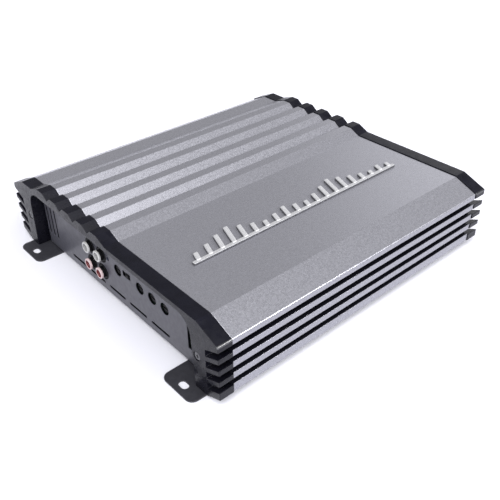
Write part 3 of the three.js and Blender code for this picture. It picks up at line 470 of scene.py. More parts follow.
class Solid:
    """Points and faces that become one mesh. Points are in millimetres."""

    def __init__(self):
        self.points = []
        self.faces = []

    def ring(self, outline, depth, place):
        first = len(self.points)
        self.points.extend(place(p.x, p.y, depth) for p in outline)
        return list(range(first, first + len(outline)))

    def wall(self, ring_a, ring_b):
        count = len(ring_a)
        for i in range(count):
            j = (i + 1) % count
            self.faces.append((ring_a[i], ring_a[j], ring_b[j], ring_b[i]))

    def walls(self, rings):
        for ring_a, ring_b in zip(rings, rings[1:]):
            self.wall(ring_a, ring_b)

    def cover(self, rings):
        """Fills the first ring, leaving the others as holes."""
        indices = [i for ring in rings for i in ring]
        loops = [[self.points[i] for i in ring] for ring in rings]
        for triangle in tessellate_polygon(loops):
            self.faces.append(tuple(indices[k] for k in triangle))

    def loft(self, loops, place):
        """Closed walls, one for each (outline, profile), covered at both ends."""
        starts, ends = [], []
        for outline, profile in loops:
            rings = [self.ring(grown(outline, growth), depth, place) for depth, growth in profile]
            self.walls(rings)
            starts.append(rings[0])
            ends.append(rings[-1])
        self.cover(starts)
        self.cover(ends)

    def turned_rings(self, centre, profile, place):
        return [self.ring(circle(centre.x, centre.y, r), d, place) for r, d in profile]

    def turned(self, centre, profile, place, recess=None):
        """A turned body about centre, from [(radius, depth)]. recess is (outline, [(scale, depth)])."""
        rings = self.turned_rings(centre, profile, place)
        self.walls(rings)
        self.cover([rings[-1]])
        if recess is None:
            self.cover([rings[0]])
            return
        outline, levels = recess
        wells = [
            self.ring([centre + (p - centre) * scale for p in outline], depth, place)
            for scale, depth in levels
        ]
        self.walls(wells)
        self.cover([rings[0], wells[0]])
        self.cover([wells[-1]])

    def tube(self, centre, profile, place):
        """A turned ring that doesn't reach its axis: its closed profile is [(radius, depth)]."""
        rings = self.turned_rings(centre, profile, place)
        self.walls(rings + rings[:1])


def add_piece(name, solid, stands_for, slot, sharp=SHARP_ANGLE):
    """The solid as a smooth-shaded piece that stands for CAD nodes and rides with the first of them."""
    mesh = bpy.data.meshes.new(name)
    mesh.from_pydata([p * MM for p in solid.points], [], solid.faces)
    work = bmesh.new()
    work.from_mesh(mesh)
    bmesh.ops.remove_doubles(work, verts=work.verts, dist=SAME_POINT)
    bmesh.ops.dissolve_degenerate(work, edges=work.edges, dist=NO_LENGTH)
    bmesh.ops.recalc_face_normals(work, faces=work.faces)
    work.to_mesh(mesh)
    work.free()
    finish_piece(name, mesh, stands_for, slot, sharp)


def finish_piece(name, mesh, stands_for, slot, sharp=SHARP_ANGLE):
    """Shades a mesh, gives it its finish and ties it to the CAD nodes that it stands for."""
    mesh.shade_smooth()
    mesh.set_sharp_from_angle(angle=math.radians(sharp))
    piece = bpy.data.objects.new(name, mesh)
    bpy.context.scene.collection.objects.link(piece)
    even = piece.modifiers.new("even_shading", "WEIGHTED_NORMAL")
    even.keep_sharp = True
    mesh.materials.clear()
    mesh.materials.append(finishes[slot])
    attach(piece, frame["nodes"][stands_for[0]]["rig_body"])
    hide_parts(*stands_for)


def refined(node, slot, rounding):
    """A CAD node's own shape with its flat faces joined up and its sharp edges rounded."""
    mesh = bpy.data.meshes.new(node + "_rounded")
    work = bmesh.new()
    work.from_mesh(frame["nodes"][node].data)
    bmesh.ops.remove_doubles(work, verts=work.verts, dist=SAME_PLACE)
    bmesh.ops.dissolve_limit(
        work, angle_limit=FLAT_ANGLE, verts=work.verts, edges=work.edges, delimit=set())
    sharp = [e for e in work.edges if len(e.link_faces) == 2 and e.calc_face_angle() > BEVEL_ANGLE]
    bmesh.ops.bevel(
        work, geom=sharp, offset=rounding * MM, offset_type="OFFSET", segments=BEVEL_SEGMENTS,
        profile=0.5, affect="EDGES", clamp_overlap=True)
    bmesh.ops.recalc_face_normals(work, faces=work.faces)
    work.to_mesh(mesh)
    work.free()
    finish_piece(node + "_rounded", mesh, [node], slot)


# ---- Finishes ----

def scaled(colour, share):
    return tuple(min(1, c * share) for c in colour)


class Finish:
    """A Principled surface whose textures all read one object-space position."""

    def __init__(self, name, colour, roughness, metallic=0.0):
        self.slot = name
        self.material = bpy.data.materials.new(name)
        self.material.use_nodes = True
        self.nodes = self.material.node_tree.nodes
        self.links = self.material.node_tree.links
        self.shader = self.nodes["Principled BSDF"]
        self.shader.inputs["Metallic"].default_value = metallic
        self.position = self.nodes.new("ShaderNodeTexCoord").outputs["Object"]
        self.colour = colour
        self.roughness = roughness
        self.normal = None

    def socket(self, name, value):
        self.shader.inputs[name].default_value = value
        return self

    def feed(self, socket, value):
        """Links an output to a socket, or sets the socket to a plain value."""
        if isinstance(value, bpy.types.NodeSocket):
            self.links.new(value, socket)
        else:
            socket.default_value = value

    def noise(self, size, detail=3, stretch=(1, 1, 1), offset=0):
        """Noise with features of about size millimetres, longer along an axis with a stretch over 1."""
        mapping = self.nodes.new("ShaderNodeMapping")
        mapping.inputs["Location"].default_value = (offset, offset, offset)
        mapping.inputs["Scale"].default_value = [1 / s for s in stretch]
        self.links.new(self.position, mapping.inputs["Vector"])
        texture = self.nodes.new("ShaderNodeTexNoise")
        texture.inputs["Scale"].default_value = 1 / (size * MM)
        texture.inputs["Detail"].default_value = detail
        self.links.new(mapping.outputs["Vector"], texture.inputs["Vector"])
        return texture.outputs["Fac"]

    def ranged(self, value, to, start_end=NOISE_RANGE):
        """Goes from to[0] to to[1] as a value goes from start to end."""
        node = self.nodes.new("ShaderNodeMapRange")
        for name, number in zip(("From Min", "From Max", "To Min", "To Max"), (*start_end, *to)):
            node.inputs[name].default_value = number
        self.links.new(value, node.inputs["Value"])
        return node.outputs["Result"]

    def mask(self, value, start_end, full=1):
        """Goes from 0 to full as a distance goes from start to end, in millimetres."""
        return self.ranged(value, (0, full), [edge * MM for edge in start_end])

    def math(self, operation, *values):
        node = self.nodes.new("ShaderNodeMath")
        node.operation = operation
        for socket, value in zip(node.inputs, values):
            self.feed(socket, value)
        return node.outputs["Value"]

    def along(self, axis):
        """The position along an axis, in metres."""
        axes = self.nodes.new("ShaderNodeSeparateXYZ")
        self.links.new(self.position, axes.inputs["Vector"])
        return axes.outputs[axis]

    def outwards(self, axis):
        """The distance from the middle of the body along an axis, in metres."""
        return self.math("ABSOLUTE", self.along(axis))

    def from_line(self, centre):
        """The distance from the line along X through a (y, z) point, in metres."""
        flat = self.nodes.new("ShaderNodeCombineXYZ")
        for axis in ("Y", "Z"):
            self.links.new(self.along(axis), flat.inputs[axis])
        distance = self.nodes.new("ShaderNodeVectorMath")
        distance.operation = "DISTANCE"
        distance.inputs[1].default_value = (0, centre.x * MM, centre.y * MM)
        self.links.new(flat.outputs["Vector"], distance.inputs[0])
        return distance.outputs["Value"]

    def mix(self, factor, *colours):
        node = self.nodes.new("ShaderNodeMix")
        node.data_type = "RGBA"
        self.links.new(factor, node.inputs["Factor"])
        for index, colour in zip(MIX_COLOUR_INPUTS, colours):
            self.feed(node.inputs[index], (*colour, 1) if isinstance(colour, tuple) else colour)
        return node.outputs[MIX_COLOUR_OUTPUT]

    def patches(self, size, spread, detail=3):
        """The finish's colour, lighter and darker by a share, in patches of a size."""
        factor = self.ranged(self.noise(size, detail), (0, 1))
        return self.mix(factor, scaled(self.colour, 1 - spread), scaled(self.colour, 1 + spread))

    def paint(self, colour):
        self.links.new(colour, self.shader.inputs["Base Color"])
        return self

    def mottled(self, size, spread):
        return self.paint(self.patches(size, spread))

    def varied(self, name, mask, to, full=1):
        """Takes a shader input from to[0] to to[1] as a mask goes from 0 to full."""
        self.links.new(self.ranged(mask, to, (0, full)), self.shader.inputs[name])
        return self

    def uneven_gloss(self, size, spread):
        patchy = self.noise(size, detail=2, offset=3)
        rough = self.ranged(patchy, (self.roughness * (1 - spread), self.roughness * (1 + spread)))
        self.links.new(rough, self.shader.inputs["Roughness"])
        return self

    def bumpy(self, height, depth):
        """Raises and lowers the surface by about depth millimetres."""
        node = self.nodes.new("ShaderNodeBump")
        node.inputs["Strength"].default_value = 1
        node.inputs["Distance"].default_value = depth * MM
        self.links.new(height, node.inputs["Height"])
        if self.normal is not None:
            self.links.new(self.normal, node.inputs["Normal"])
        self.normal = node.outputs["Normal"]
        self.links.new(self.normal, self.shader.inputs["Normal"])
        return self

    def grainy(self, size, depth, detail=3, stretch=(1, 1, 1), offset=7):
        return self.bumpy(self.noise(size, detail, stretch, offset), depth)


def heatsink_finish():
    """Satin silver coat with a fine speckled grain. Painted shade darkens the grooves, and the fins' front
    faces get a dimmer coat, also painted shade.
    """
    finish = Finish("heatsink_aluminium", COAT_COLOUR, roughness=0.3)
    finish.uneven_gloss(size=1.4, spread=0.18)
    finish.grainy(size=0.75, depth=0.022, detail=4)
    finish.grainy(size=14, depth=0.05, detail=2, offset=11)
    on_fin_tips = finish.mask(finish.outwards("Y"), (FIN_COAT_START, FIN_COAT_END), FIN_TIP_SHADED_COAT)
    on_top = finish.mask(finish.along("Z"), GROOVE_SHADE_TOP)
    unshaded_coat = finish.math("MAXIMUM", on_fin_tips, on_top)
    # Painted shade: near black in the grooves, and a dimmer coat on the fin tips
    finish.paint(finish.mix(unshaded_coat, GROOVE_PAINTED_SHADE, finish.patches(size=0.7, spread=0.08, detail=4)))
    finish.varied("Metallic", unshaded_coat, (0, COAT_METALLIC), FIN_TIP_SHADED_COAT)
    return finish.varied("Specular IOR Level", unshaded_coat, COAT_SPECULAR, FIN_TIP_SHADED_COAT)


def cap_finish():
    """Hard gloss black with a faint ripple, polished brighter along the lips."""
    finish = Finish("cap_black", (0.006, 0.006, 0.01), roughness=0.28)
    finish.socket("Specular IOR Level", CAP_SPECULAR[0])
    at_face = finish.mask(finish.outwards("Y"), CAP_LIP_WIDTHS)
    at_lip = finish.mask(finish.along("Z"), CAP_LIP_HEIGHTS)
    finish.varied("Specular IOR Level", finish.math("MINIMUM", at_face, at_lip), CAP_SPECULAR)
    finish.mottled(size=9, spread=0.2)
    finish.uneven_gloss(size=5, spread=0.3)
    finish.grainy(size=2.6, depth=0.006)
    return finish.grainy(size=0.35, depth=0.0015, offset=17)


def painted_finish(name, colour, roughness):
    """Thin satin paint on sheet steel."""
    finish = Finish(name, colour, roughness)
    finish.mottled(size=2.2, spread=0.12)
    finish.uneven_gloss(size=3, spread=0.15)
    return finish.grainy(size=0.5, depth=0.012)


def faced_finish(name, colour, roughness, node):
    """Satin paint on the outer face of a node at an end. Its cut edges, recess and back are near black,
    which is painted shade.
    """
    finish = Finish(name, colour, roughness)
    face = max(abs(corner.x) for corner in box_mm(node))
    on_face = finish.mask(finish.outwards("X"), [face - depth for depth in RECESS_SHADE_DEPTHS])
    # Painted shade: near black on the cut edges, recesses and back
    finish.paint(finish.mix(on_face, RECESS_PAINTED_SHADE, finish.patches(size=2.2, spread=0.12)))
    finish.varied("Specular IOR Level", on_face, RECESS_SHADE_SPECULAR)
    finish.uneven_gloss(size=3, spread=0.15)
    return finish.grainy(size=0.5, depth=0.012)


def moulded_finish(name, colour, roughness, shine=0.5):
    """Moulded plastic with a fine spark-eroded texture."""
    finish = Finish(name, colour, roughness)
    finish.socket("Specular IOR Level", shine)
    finish.mottled(size=1.5, spread=0.1)
    finish.uneven_gloss(size=1.2, spread=0.2)
    return finish.grainy(size=0.25, depth=0.006)


def plated_finish(name, colour, roughness, brushed=(1, 1, 1)):
    """Bare or plated metal, with fine marks along one axis."""
    finish = Finish(name, colour, roughness, metallic=1)
    finish.mottled(size=1, spread=0.1)
    finish.uneven_gloss(size=0.8, spread=0.3)
    return finish.grainy(size=0.12, depth=0.004, stretch=brushed)


def badge_finish():
    """Satin plating on the raised tops, with painted shade down the sides."""
    finish = Finish("badge_chrome", (0.56, 0.56, 0.58), roughness=0.3, metallic=0.5)
    top = box_mm("badge")[1].z
    on_top = finish.mask(finish.along("Z"), [top - depth for depth in BADGE_TOP_DEPTHS])
    # Painted shade: dark below the raised tops
    finish.paint(finish.mix(on_top, BADGE_SIDE_SHADE, finish.patches(size=1.6, spread=0.05)))
    return finish.grainy(size=0.5, depth=0.004)


def socket_finish(colour_name, colour):
    """Darker plastic in the throat of each of two sockets, inside a bright rim."""
    finish = Finish(f"{colour_name}_plastic", colour, roughness=0.28)
    distances = [finish.from_line(piece_centre(node)) for node in SOCKETS[colour_name]]
    on_rim = finish.mask(finish.math("MINIMUM", *distances), SOCKET_THROAT_RADII)
    throat = finish.patches(size=0.4, spread=0.15)
    finish.paint(finish.mix(on_rim, throat, SOCKET_RIM[colour_name]))
    finish.uneven_gloss(size=1.2, spread=0.2)
    return finish.grainy(size=0.25, depth=0.004)


def tinted_finish(name, colour, roughness, passes_light):
    """Clear tinted plastic."""
    finish = Finish(name, colour, roughness)
    finish.socket("Transmission Weight", passes_light)
    finish.mottled(size=1.2, spread=0.12)
    return finish.grainy(size=1.5, depth=0.004)


def board_finish():
    """Green laminate with a weave, and copper tracks that show through the mask."""
    finish = Finish("board_green", (0.008, 0.05, 0.022), roughness=0.35)
    tracks = finish.nodes.new("ShaderNodeTexBrick")
    for name, number in BOARD_TRACKS.items():
        tracks.inputs[name].default_value = number
    finish.links.new(finish.position, tracks.inputs["Vector"])
    finish.paint(finish.mix(tracks.outputs["Fac"], finish.colour, BOARD_TRACK))
    finish.bumpy(tracks.outputs["Fac"], depth=0.04)
    return finish.grainy(size=0.6, depth=0.01)


def winding_finish():
    """Turns of enamelled wire round a ring core, with painted shade between the turns."""
    finish = Finish("winding_copper", (0.42, 0.16, 0.05), roughness=0.3, metallic=0.7)
    low, high = box_mm("toroid")
    centre = (low + high) / 2 * MM
    mapping = finish.nodes.new("ShaderNodeMapping")
    mapping.inputs["Location"].default_value = (-centre.x, -centre.y, 0)
    finish.links.new(finish.position, mapping.inputs["Vector"])
    radial = finish.nodes.new("ShaderNodeTexGradient")
    radial.gradient_type = "RADIAL"
    finish.links.new(mapping.outputs["Vector"], radial.inputs["Vector"])
    half_turn = 1 / (2 * WINDING_TURNS)
    turns = finish.math("PINGPONG", radial.outputs["Fac"], half_turn)
    wires = finish.ranged(turns, (0, 1), (0, half_turn))
    # Painted shade between the turns
    finish.paint(finish.mix(wires, WINDING_PAINTED_SHADE, finish.colour))
    finish.bumpy(wires, depth=0.5)
    return finish.grainy(size=0.8, depth=0.02)


def make_finishes():
    """Every material, by slot. Sheets, plastics and metals are (slot, colour, roughness, ...)."""
    made = [
        heatsink_finish(),
        cap_finish(),
        faced_finish("black_screw", (0.075, 0.075, 0.083), 0.3, node="cap_screw_signal_front"),
        plated_finish("plated_screw", (0.5, 0.5, 0.52), 0.3),
        painted_finish("dark_sheet", (0.026, 0.026, 0.032), 0.42),
        faced_finish("panel_grey", (0.056, 0.056, 0.07), 0.36, node="signal_panel"),
        moulded_finish("black_plastic", (0.005, 0.005, 0.006), 0.42, shine=0.14),
        socket_finish("white", (0.24, 0.24, 0.24)),
        socket_finish("red", (0.1, 0.004, 0.006)),
        moulded_finish("control_black", (0.004, 0.004, 0.005), 0.5, shine=0.12),
        moulded_finish("pot_blue", (0.03, 0.12, 0.3), 0.45),
        plated_finish("switch_steel", (0.06, 0.06, 0.065), 0.4, brushed=(1, 14, 1)),
        tinted_finish("led_lens", (0.003, 0.006, 0.024), 0.2, passes_light=0.1),
        plated_finish("terminal_brass", (0.72, 0.55, 0.26), 0.24),
        tinted_finish("fuse_amber", (0.8, 0.3, 0.04), 0.15, passes_light=0.45),
        board_finish(),
        winding_finish(),
        moulded_finish("capacitor_sleeve", (0.03, 0.05, 0.1), 0.22),
        moulded_finish("transistor_black", (0.02, 0.02, 0.02), 0.5),
        plated_finish("clamp_steel", (0.5, 0.5, 0.52), 0.35, brushed=(14, 1, 1)),
        badge_finish(),
    ]
    return {finish.slot: finish.material for finish in made}


# ---- Heatsink and end caps ----

def make_heatsink():
    """The ribbed extrusion between the caps, with its screw ports."""
    outline, *ports = end_face_outlines("heatsink", 1)
    far = 2 * HALF_LENGTH - HEATSINK_DEPTH
    outer = edge_profile(HEATSINK_DEPTH, far, END_ROUNDING, -1)
    loops = [(rounded(outline, body_corner_radius), outer)]
    for port in ports:
        centre = sum(port, Vector((0, 0))) / len(port)
        radius = sum((p - centre).length for p in port) / len(port)
        loops.append((circle(centre.x, centre.y, radius), edge_profile(HEATSINK_DEPTH, far, PORT_EDGE, 1)))
    solid = Solid()
    solid.loft(loops, at_end(-1))
    add_piece("heatsink_body", solid, ["heatsink"], "heatsink_aluminium")


def make_end_cap(end):
    """A black cap with the body's outline, open round its panel, with two countersunk holes."""
    side = ENDS[end]
    node = f"end_cap_{end}"
    outline = rounded(end_face_outlines(node, side)[0], body_corner_radius)
    loops = [(outline, edge_profile(0, CAP_DEPTH, END_ROUNDING, -1))]
    widening = CAP_HOLE_RADIUS - CAP_HOLE_SHANK
    countersink = [
        (0, widening + CAP_HOLE_EDGE), (CAP_HOLE_EDGE, widening), (CAP_HOLE_RIM, widening),
        (CAP_HOLE_NECK, 0), (CAP_DEPTH, 0),
    ]
    for edge in EDGES:
        centre = piece_centre(f"cap_screw_{end}_{edge}")
        loops.append((circle(centre.x, centre.y, CAP_HOLE_SHANK), countersink))
    solid = Solid()
    solid.loft(loops, at_end(side))
    add_piece(f"{node}_moulding", solid, [node], "cap_black")


# ---- Screws ----

def cross_recess(centre, reach, face, depth):
    """A cross-shaped driver recess that narrows as it goes in."""
    half = CROSS_HALF_WIDTH
    corners = [(reach, -half), (reach, half), (half, half), (half, reach), (-half, reach), (-half, half)]
    corners += [(-y, -z) for y, z in corners]
    points = [centre + Vector(corner) for corner in corners]
    outline = evenly_rounded(points, CROSS_ROUNDING, CROSS_CORNER_STEPS)
    return outline, list(zip(CROSS_SCALES, (face, face + CROSS_LIP, face + depth)))


def make_screw(node, slot, centre, radius, face, tip, place):
    """A turned cross-head screw, from the face of its head to its tip."""
    shape = SCREWS[slot]
    shank = shape["shank"]
    profile = shifted(shape["crown"], radius, face)
    profile += [
        (shank, face + shape["neck"]), (shank, tip - shape["point"]), (shank - shape["taper"], tip)]
    solid = Solid()
    solid.turned(centre, profile, place, cross_recess(centre, shape["cross"], face, shape["cross_depth"]))
    add_piece(f"{node}_head", solid, [node], slot)


def make_end_screw(node, slot, side):
    """A screw driven in from one end of the body."""
    low, high = box_mm(node)
    face, tip = sorted(HALF_LENGTH - side * x for x in (low.x, high.x))
    make_screw(node, slot, piece_centre(node), (high.y - low.y) / 2, face, tip, at_end(side))


def make_plate_screw(node):
    """A screw driven up through the bottom plate."""
    low, high = box_mm(node)
    centre = ((low + high) / 2).xy
    make_screw(node, "plated_screw", centre, (high.x - low.x) / 2, low.z, high.z, upright)


# ---- Bottom plate ----

def plate_outline(tab_end):
    """The plate's outline with its four tabs, and their corners rounded."""
    plate_end = HALF_LENGTH - PLATE_INSET
    half_width = box_mm("bottom_plate")[1].y
    tab_front, tab_rear = TAB_Y - TAB_HALF_WIDTH, TAB_Y + TAB_HALF_WIDTH
    corners = []
    for x_side, y_side in ((1, -1), (1, 1), (-1, 1), (-1, -1)):
        tab = [
            (plate_end, half_width), (plate_end, tab_rear), (tab_end, tab_rear),
            (tab_end, tab_front), (plate_end, tab_front),
        ]
        if x_side == y_side:
            tab.reverse()
        corners += [Vector((x_side * x, y_side * y)) for x, y in tab]
    return rounded(
        corners, lambda corner, _turn: TAB_CORNER if abs(corner.x) > HALF_LENGTH else PLATE_CORNER,
        TAB_CORNER_STEPS)


def make_bottom_plate():
    """The plate with its four slotted tabs and its countersunk holes."""
    low, high = box_mm("bottom_plate")
    loops = [(plate_outline(high.x), edge_profile(low.z, high.z, PLATE_EDGE, -1))]
    for x_side in (-1, 1):
        for y_side in (-1, 1):
            slot = slot_outline(x_side * (HALF_LENGTH + TAB_SLOT_OUT), y_side * TAB_Y, *TAB_SLOT)
            loops.append((slot, edge_profile(low.z, high.z, TAB_SLOT_EDGE, 1)))
    rim, neck = (low.z + depth for depth in PLATE_HOLE_DEPTHS)
    countersink = [(low.z, PLATE_HOLE_WIDENING), (rim, PLATE_HOLE_WIDENING), (neck, 0), (high.z, 0)]
    for node in PLATE_SCREWS:
        screw_low, screw_high = box_mm(node)
        centre = (screw_low + screw_high) / 2
        loops.append((circle(centre.x, centre.y, PLATE_HOLE_RADIUS), countersink))
    solid = Solid()
    solid.loft(loops, upright)
    add_piece("bottom_plate_sheet", solid, ["bottom_plate"], "dark_sheet")


# ---- Signal end ----

def signal_panel_holes():
    """Outlines of the vents and of the holes round the sockets, knobs, light and switch."""
    holes = [slot_outline(*vent) for vent in LOW_VENTS + SIDE_VENTS]
    holes += [circle(c.x, c.y, RCA_HOLE_RADIUS) for c in RCA_CENTRES]
    for node in POT_NODES:
        centre = piece_centre(node)
        holes.append(circle(centre.x, centre.y, POT_HOLE_RADIUS))
    led = piece_centre("power_led")
    holes.append(circle(led.x, led.y, LED_HOLE_RADIUS))
    switch = piece_centre("switch_body")
    holes.append(rectangle(switch.x, switch.y, *SWITCH_SLOT, SWITCH_SLOT_CORNER))
    return holes


def add_panel_bend(solid, low, high, face):
    """The sheet's quarter bend under the face and its flange, joined to the face's bottom edge."""
    place = at_end(-1)
    outer, inner = PANEL_BEND_RADIUS, PANEL_BEND_RADIUS - PANEL_THICKNESS
    sections = []
    for k in range(PANEL_BEND_STEPS + 1):
        angle = math.pi / 2 * k / PANEL_BEND_STEPS
        sections.append([
            (face + outer - r * math.cos(angle), low.z + outer - r * math.sin(angle))
            for r in (outer, inner)
        ])
    flange_end = face + high.x - low.x
    sections.append([(flange_end, low.z), (flange_end, low.z + PANEL_THICKNESS)])
    rings = []
    for (d0, z0), (d1, z1) in sections:
        first = len(solid.points)
        solid.points += [
            place(low.y, z0, d0), place(high.y, z0, d0), place(high.y, z1, d1), place(low.y, z1, d1)]
        rings.append([first, first + 1, first + 2, first + 3])
    solid.walls(rings)
    solid.faces.append(tuple(rings[-1]))


def make_signal_panel():
    """An upright sheet with sloping top corners and holes. Its front edge steps out to a low foot."""
    low, high = box_mm("signal_panel")
    face = HALF_LENGTH + low.x
    bend_top = low.z + PANEL_BEND_RADIUS
    cut = PANEL_TOP_CORNER
    step_y, step_z = SIGNAL_PANEL_STEP
    slope_z = high.z - cut + step_y - low.y
    corners = [
        (low.y, bend_top), (high.y, bend_top), (high.y, high.z - cut), (high.y - cut, high.z),
        (low.y + cut, high.z), (step_y, slope_z), (step_y, step_z), (low.y, step_z),
    ]
    outline = [Vector(corner) for corner in corners]
    loops = [(outline, [(face, 0), (face + PANEL_THICKNESS, 0)])]
    hole_profile = edge_profile(face, face + PANEL_THICKNESS, PANEL_EDGE, 1)
    loops += [(hole, hole_profile) for hole in signal_panel_holes()]
    solid = Solid()
    solid.loft(loops, at_end(-1))
    bottom = {i for i, p in enumerate(solid.points) if abs(p.z - bend_top) < SAME_PLACE}
    solid.faces = [f for f in solid.faces if not (len(f) == 4 and set(f) <= bottom)]
    add_panel_bend(solid, low, high, face)
    add_piece("signal_panel_sheet", solid, ["signal_panel"], "panel_grey")


def make_rca_block():
    """The moulded block behind the panel, with a collar and a barrel for each socket."""
    low, high = box_mm("rca_block")
    place = at_end(-1)
    panel_face = HALF_LENGTH + box_mm("signal_panel")[0].x
    block_face = panel_face + PANEL_THICKNESS + BLOCK_GAP
    collar_face = panel_face - RCA_COLLAR_PROUD
    face, back = HALF_LENGTH + low.x, HALF_LENGTH + high.x
    middle = (low + high) / 2
    outline = rectangle(middle.y, middle.z, high.y - low.y, high.z - low.z, BLOCK_CORNER)
    loops = [(outline, edge_profile(block_face, back, BLOCK_EDGE, -1))]
    loops += [(circle(c.x, c.y, RCA_BORE), [(block_face, 0), (back, 0)]) for c in RCA_CENTRES]
    barrel = [
        (RCA_BORE, face + RCA_BORE_EDGE), (RCA_BORE + RCA_BORE_EDGE, face),
        (RCA_BARREL - RCA_BARREL_EDGE, face), (RCA_BARREL, face + RCA_BARREL_EDGE),
        (RCA_BARREL, collar_face + RCA_BARREL_EDGE), (RCA_BARREL + RCA_BARREL_EDGE, collar_face),
        (RCA_COLLAR - RCA_COLLAR_EDGE, collar_face), (RCA_COLLAR, collar_face + RCA_COLLAR_EDGE),
        (RCA_COLLAR, block_face), (RCA_BORE, block_face),
    ]
    solid = Solid()
    solid.loft(loops, place)
    for centre in RCA_CENTRES:
        solid.tube(centre, barrel, place)
    add_piece("rca_socket_block", solid, ["rca_block"], "black_plastic")


def make_rca_insert(node, slot):
    """A coloured ring round the pin hole, with a rolled lip and a stepped throat."""
    low, high = box_mm(node)
    ring = (high.y - low.y) / 2
    face, back = HALF_LENGTH + low.x, HALF_LENGTH + high.x
    ring_back = face + INSERT_RING_DEPTH
    profile = shifted(INSERT_THROAT, 0, face) + shifted(INSERT_RIM, ring, face)
    profile += [
        (ring, ring_back), (INSERT_SLEEVE, ring_back), (INSERT_SLEEVE, back), (INSERT_BORE, back)]
    solid = Solid()
    solid.tube(piece_centre(node), profile, at_end(-1))
    add_piece(f"{node}_ring", solid, [node], slot, SOFT_SHARP_ANGLE)


def make_pot_shaft(node):
    """A recessed control with a screwdriver slot and a dished face."""
    low, high = box_mm(node)
    centre = piece_centre(node)
    radius = (high.y - low.y) / 2
    face, back = HALF_LENGTH + low.x, HALF_LENGTH + high.x
    knob_end = face + POT_KNOB_DEPTH
    profile = shifted(POT_EDGE, radius, face)
    profile += [(radius, knob_end), (POT_STEM_RADIUS, knob_end), (POT_STEM_RADIUS, back)]
    slot_length = 2 * (radius - POT_SLOT_MARGIN)
    slot = rectangle(centre.x, centre.y, slot_length, POT_SLOT_WIDTH, POT_SLOT_CORNER)
    solid = Solid()
    solid.turned(centre, profile, at_end(-1), (slot, shifted(POT_SLOT_LEVELS, 0, face)))
    add_piece(f"{node}_knob", solid, [node], "control_black")


def make_led():
    """A small domed lens with its collar."""
    low, high = box_mm("power_led")
    radius = (high.y - low.y) / 2
    face, back = HALF_LENGTH + low.x, HALF_LENGTH + high.x
    angles = [math.pi / 2 * k / LED_DOME_STEPS for k in range(1, LED_DOME_STEPS + 1)]
    dome = [(radius * math.sin(a), face + LED_DOME_HEIGHT * (1 - math.cos(a))) for a in angles]
    solid = Solid()
    solid.turned(piece_centre("power_led"), [*dome, (radius, back)], at_end(-1))
    add_piece("power_led_lens", solid, ["power_led"], "led_lens", DOME_SHARP_ANGLE)


# ---- Deck badge ----

def make_badge():
    """Slanted chrome bars with pillowed tops, standing on a thin rail."""
    low, high = box_mm("badge")
    half_length = len(BAR_HEIGHTS) * BAR_PITCH / 2
    half_rail = BADGE_RAIL_WIDTH / 2
    rail = [(x * half_length, y * half_rail) for x, y in UNIT_SQUARE]
    shapes = [(rail, BADGE_RAIL_CORNER, BADGE_RAIL_TOP)]
    for i, height in enumerate(BAR_HEIGHTS):
        left = (i + 0.5) * BAR_PITCH - half_length - BAR_WIDTH / 2
        right = left + BAR_WIDTH
        lean = height * BAR_SLANT
        bar = [(left, 0), (right, 0), (right + lean, height), (left + lean, height)]
        shapes.append((bar, BAR_CORNER, BAR_TOP))
    solid = Solid()
    for corners, corner_radius, top in shapes:
        outline = evenly_rounded([(x, BADGE_RAIL_Y + y) for x, y in corners], corner_radius)
        profile = [(low.z, 0)] + [(high.z - depth, growth) for depth, growth in top]
        solid.loft([(outline, profile)], upright)
    add_piece("badge_bars", solid, ["badge"], "badge_chrome", SOFT_SHARP_ANGLE)


# ---- Camera, light and floor ----

def make_camera():
    """The photo's view, from its azimuth, elevation, roll and distance."""
    back = Vector((
        math.sin(VIEW_AZIMUTH) * math.cos(VIEW_ELEVATION),
        -math.cos(VIEW_AZIMUTH) * math.cos(VIEW_ELEVATION),
        math.sin(VIEW_ELEVATION),
    ))
    right = Vector((math.cos(VIEW_AZIMUTH), math.sin(VIEW_AZIMUTH), 0))
    up = back.cross(right)
    rolled_right = right * math.cos(VIEW_ROLL) + up * math.sin(VIEW_ROLL)
    rolled_up = up * math.cos(VIEW_ROLL) - right * math.sin(VIEW_ROLL)
    turned = Matrix((rolled_right, rolled_up, back)).transposed().to_4x4()
    data = bpy.data.cameras.new("view")
    data.lens = LENS
    data.sensor_width = SENSOR
    data.clip_start, data.clip_end = (distance * MM for distance in CLIP_DISTANCES)
    camera = bpy.data.objects.new("view", data)
    camera.matrix_world = Matrix.Translation((VIEW_TARGET + back * VIEW_DISTANCE) * MM) @ turned
    bpy.context.scene.collection.objects.link(camera)
    bpy.context.scene.camera = camera


def make_floor():
    """A wide pale sheet just under the plate."""
    reach = FLOOR_REACH * MM
    mesh = bpy.data.meshes.new("floor")
    mesh.from_pydata([(x * reach, y * reach, 0) for x, y in UNIT_SQUARE], [], [(0, 1, 2, 3)])
    floor = bpy.data.objects.new("floor", mesh)
    floor.location.z = -FLOOR_DROP * MM
    bpy.context.scene.collection.objects.link(floor)
    finish = Finish("floor_white", FLOOR_COLOUR, roughness=0.6)
    finish.socket("Specular IOR Level", 0.2)
    finish.mottled(size=300, spread=0.004)
    mesh.materials.append(finish.material)


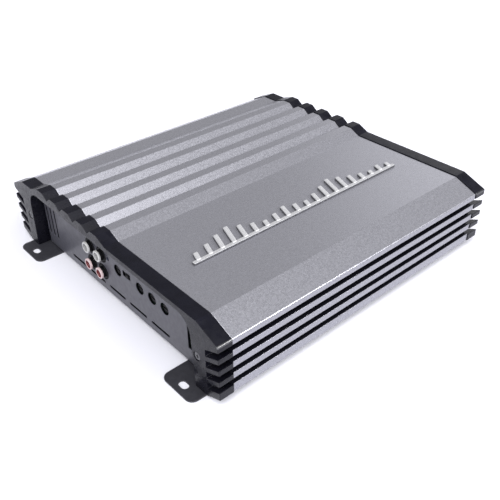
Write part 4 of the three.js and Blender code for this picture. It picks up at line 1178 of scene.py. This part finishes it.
def make_sun(name, direction, strength, spread):
    """A light the same all over the floor, softer with a wider spread in degrees."""
    data = bpy.data.lights.new(name, "SUN")
    data.energy = strength
    data.angle = math.radians(spread)
    light = bpy.data.objects.new(name, data)
    light.rotation_mode = "QUATERNION"
    light.rotation_quaternion = Vector(direction).to_track_quat("Z", "Y")
    bpy.context.scene.collection.objects.link(light)


def make_studio():
    """A dim room that is brighter low down on the right."""
    world = bpy.data.worlds.new("studio")
    world.use_nodes = True
    nodes = world.node_tree.nodes
    links = world.node_tree.links
    towards = nodes.new("ShaderNodeVectorMath")
    towards.operation = "DOT_PRODUCT"
    towards.inputs[1].default_value = Vector(BRIGHT_SIDE).normalized()
    links.new(nodes.new("ShaderNodeTexCoord").outputs["Generated"], towards.inputs[0])
    glow = nodes.new("ShaderNodeMapRange")
    glow.interpolation_type = "SMOOTHSTEP"
    glow.inputs["From Min"].default_value = BRIGHT_SIDE_START
    glow.inputs["From Max"].default_value = 1
    glow.inputs["To Min"].default_value = ROOM_GLOW
    glow.inputs["To Max"].default_value = SIDE_GLOW
    links.new(towards.outputs["Value"], glow.inputs["Value"])
    backdrop = nodes["Background"]
    backdrop.inputs["Color"].default_value = (*ROOM_COLOUR, 1)
    links.new(glow.outputs["Result"], backdrop.inputs["Strength"])
    bpy.context.scene.world = world
    bpy.context.scene.view_settings.view_transform = "Standard"


# ---- Assembly ----

finishes = make_finishes()

make_camera()
make_floor()
make_sun("key", **KEY)
make_sun("fill", **FILL)
make_sun("edge", **EDGE)
make_studio()

make_heatsink()
for end, side in ENDS.items():
    make_end_cap(end)
    for edge in EDGES:
        make_end_screw(f"cap_screw_{end}_{edge}", "black_screw", side)
for node in PLATE_SCREWS:
    make_plate_screw(node)
make_bottom_plate()

make_signal_panel()
make_rca_block()
for colour, nodes in SOCKETS.items():
    for node in nodes:
        make_rca_insert(node, f"{colour}_plastic")
for node in POT_NODES:
    make_pot_shaft(node)
make_led()
make_badge()

for node in TERMINAL_SCREWS:
    make_end_screw(node, "terminal_brass", ENDS["power"])
for node, (slot, rounding) in ROUNDED_NODES.items():
    refined(node, slot, rounding)
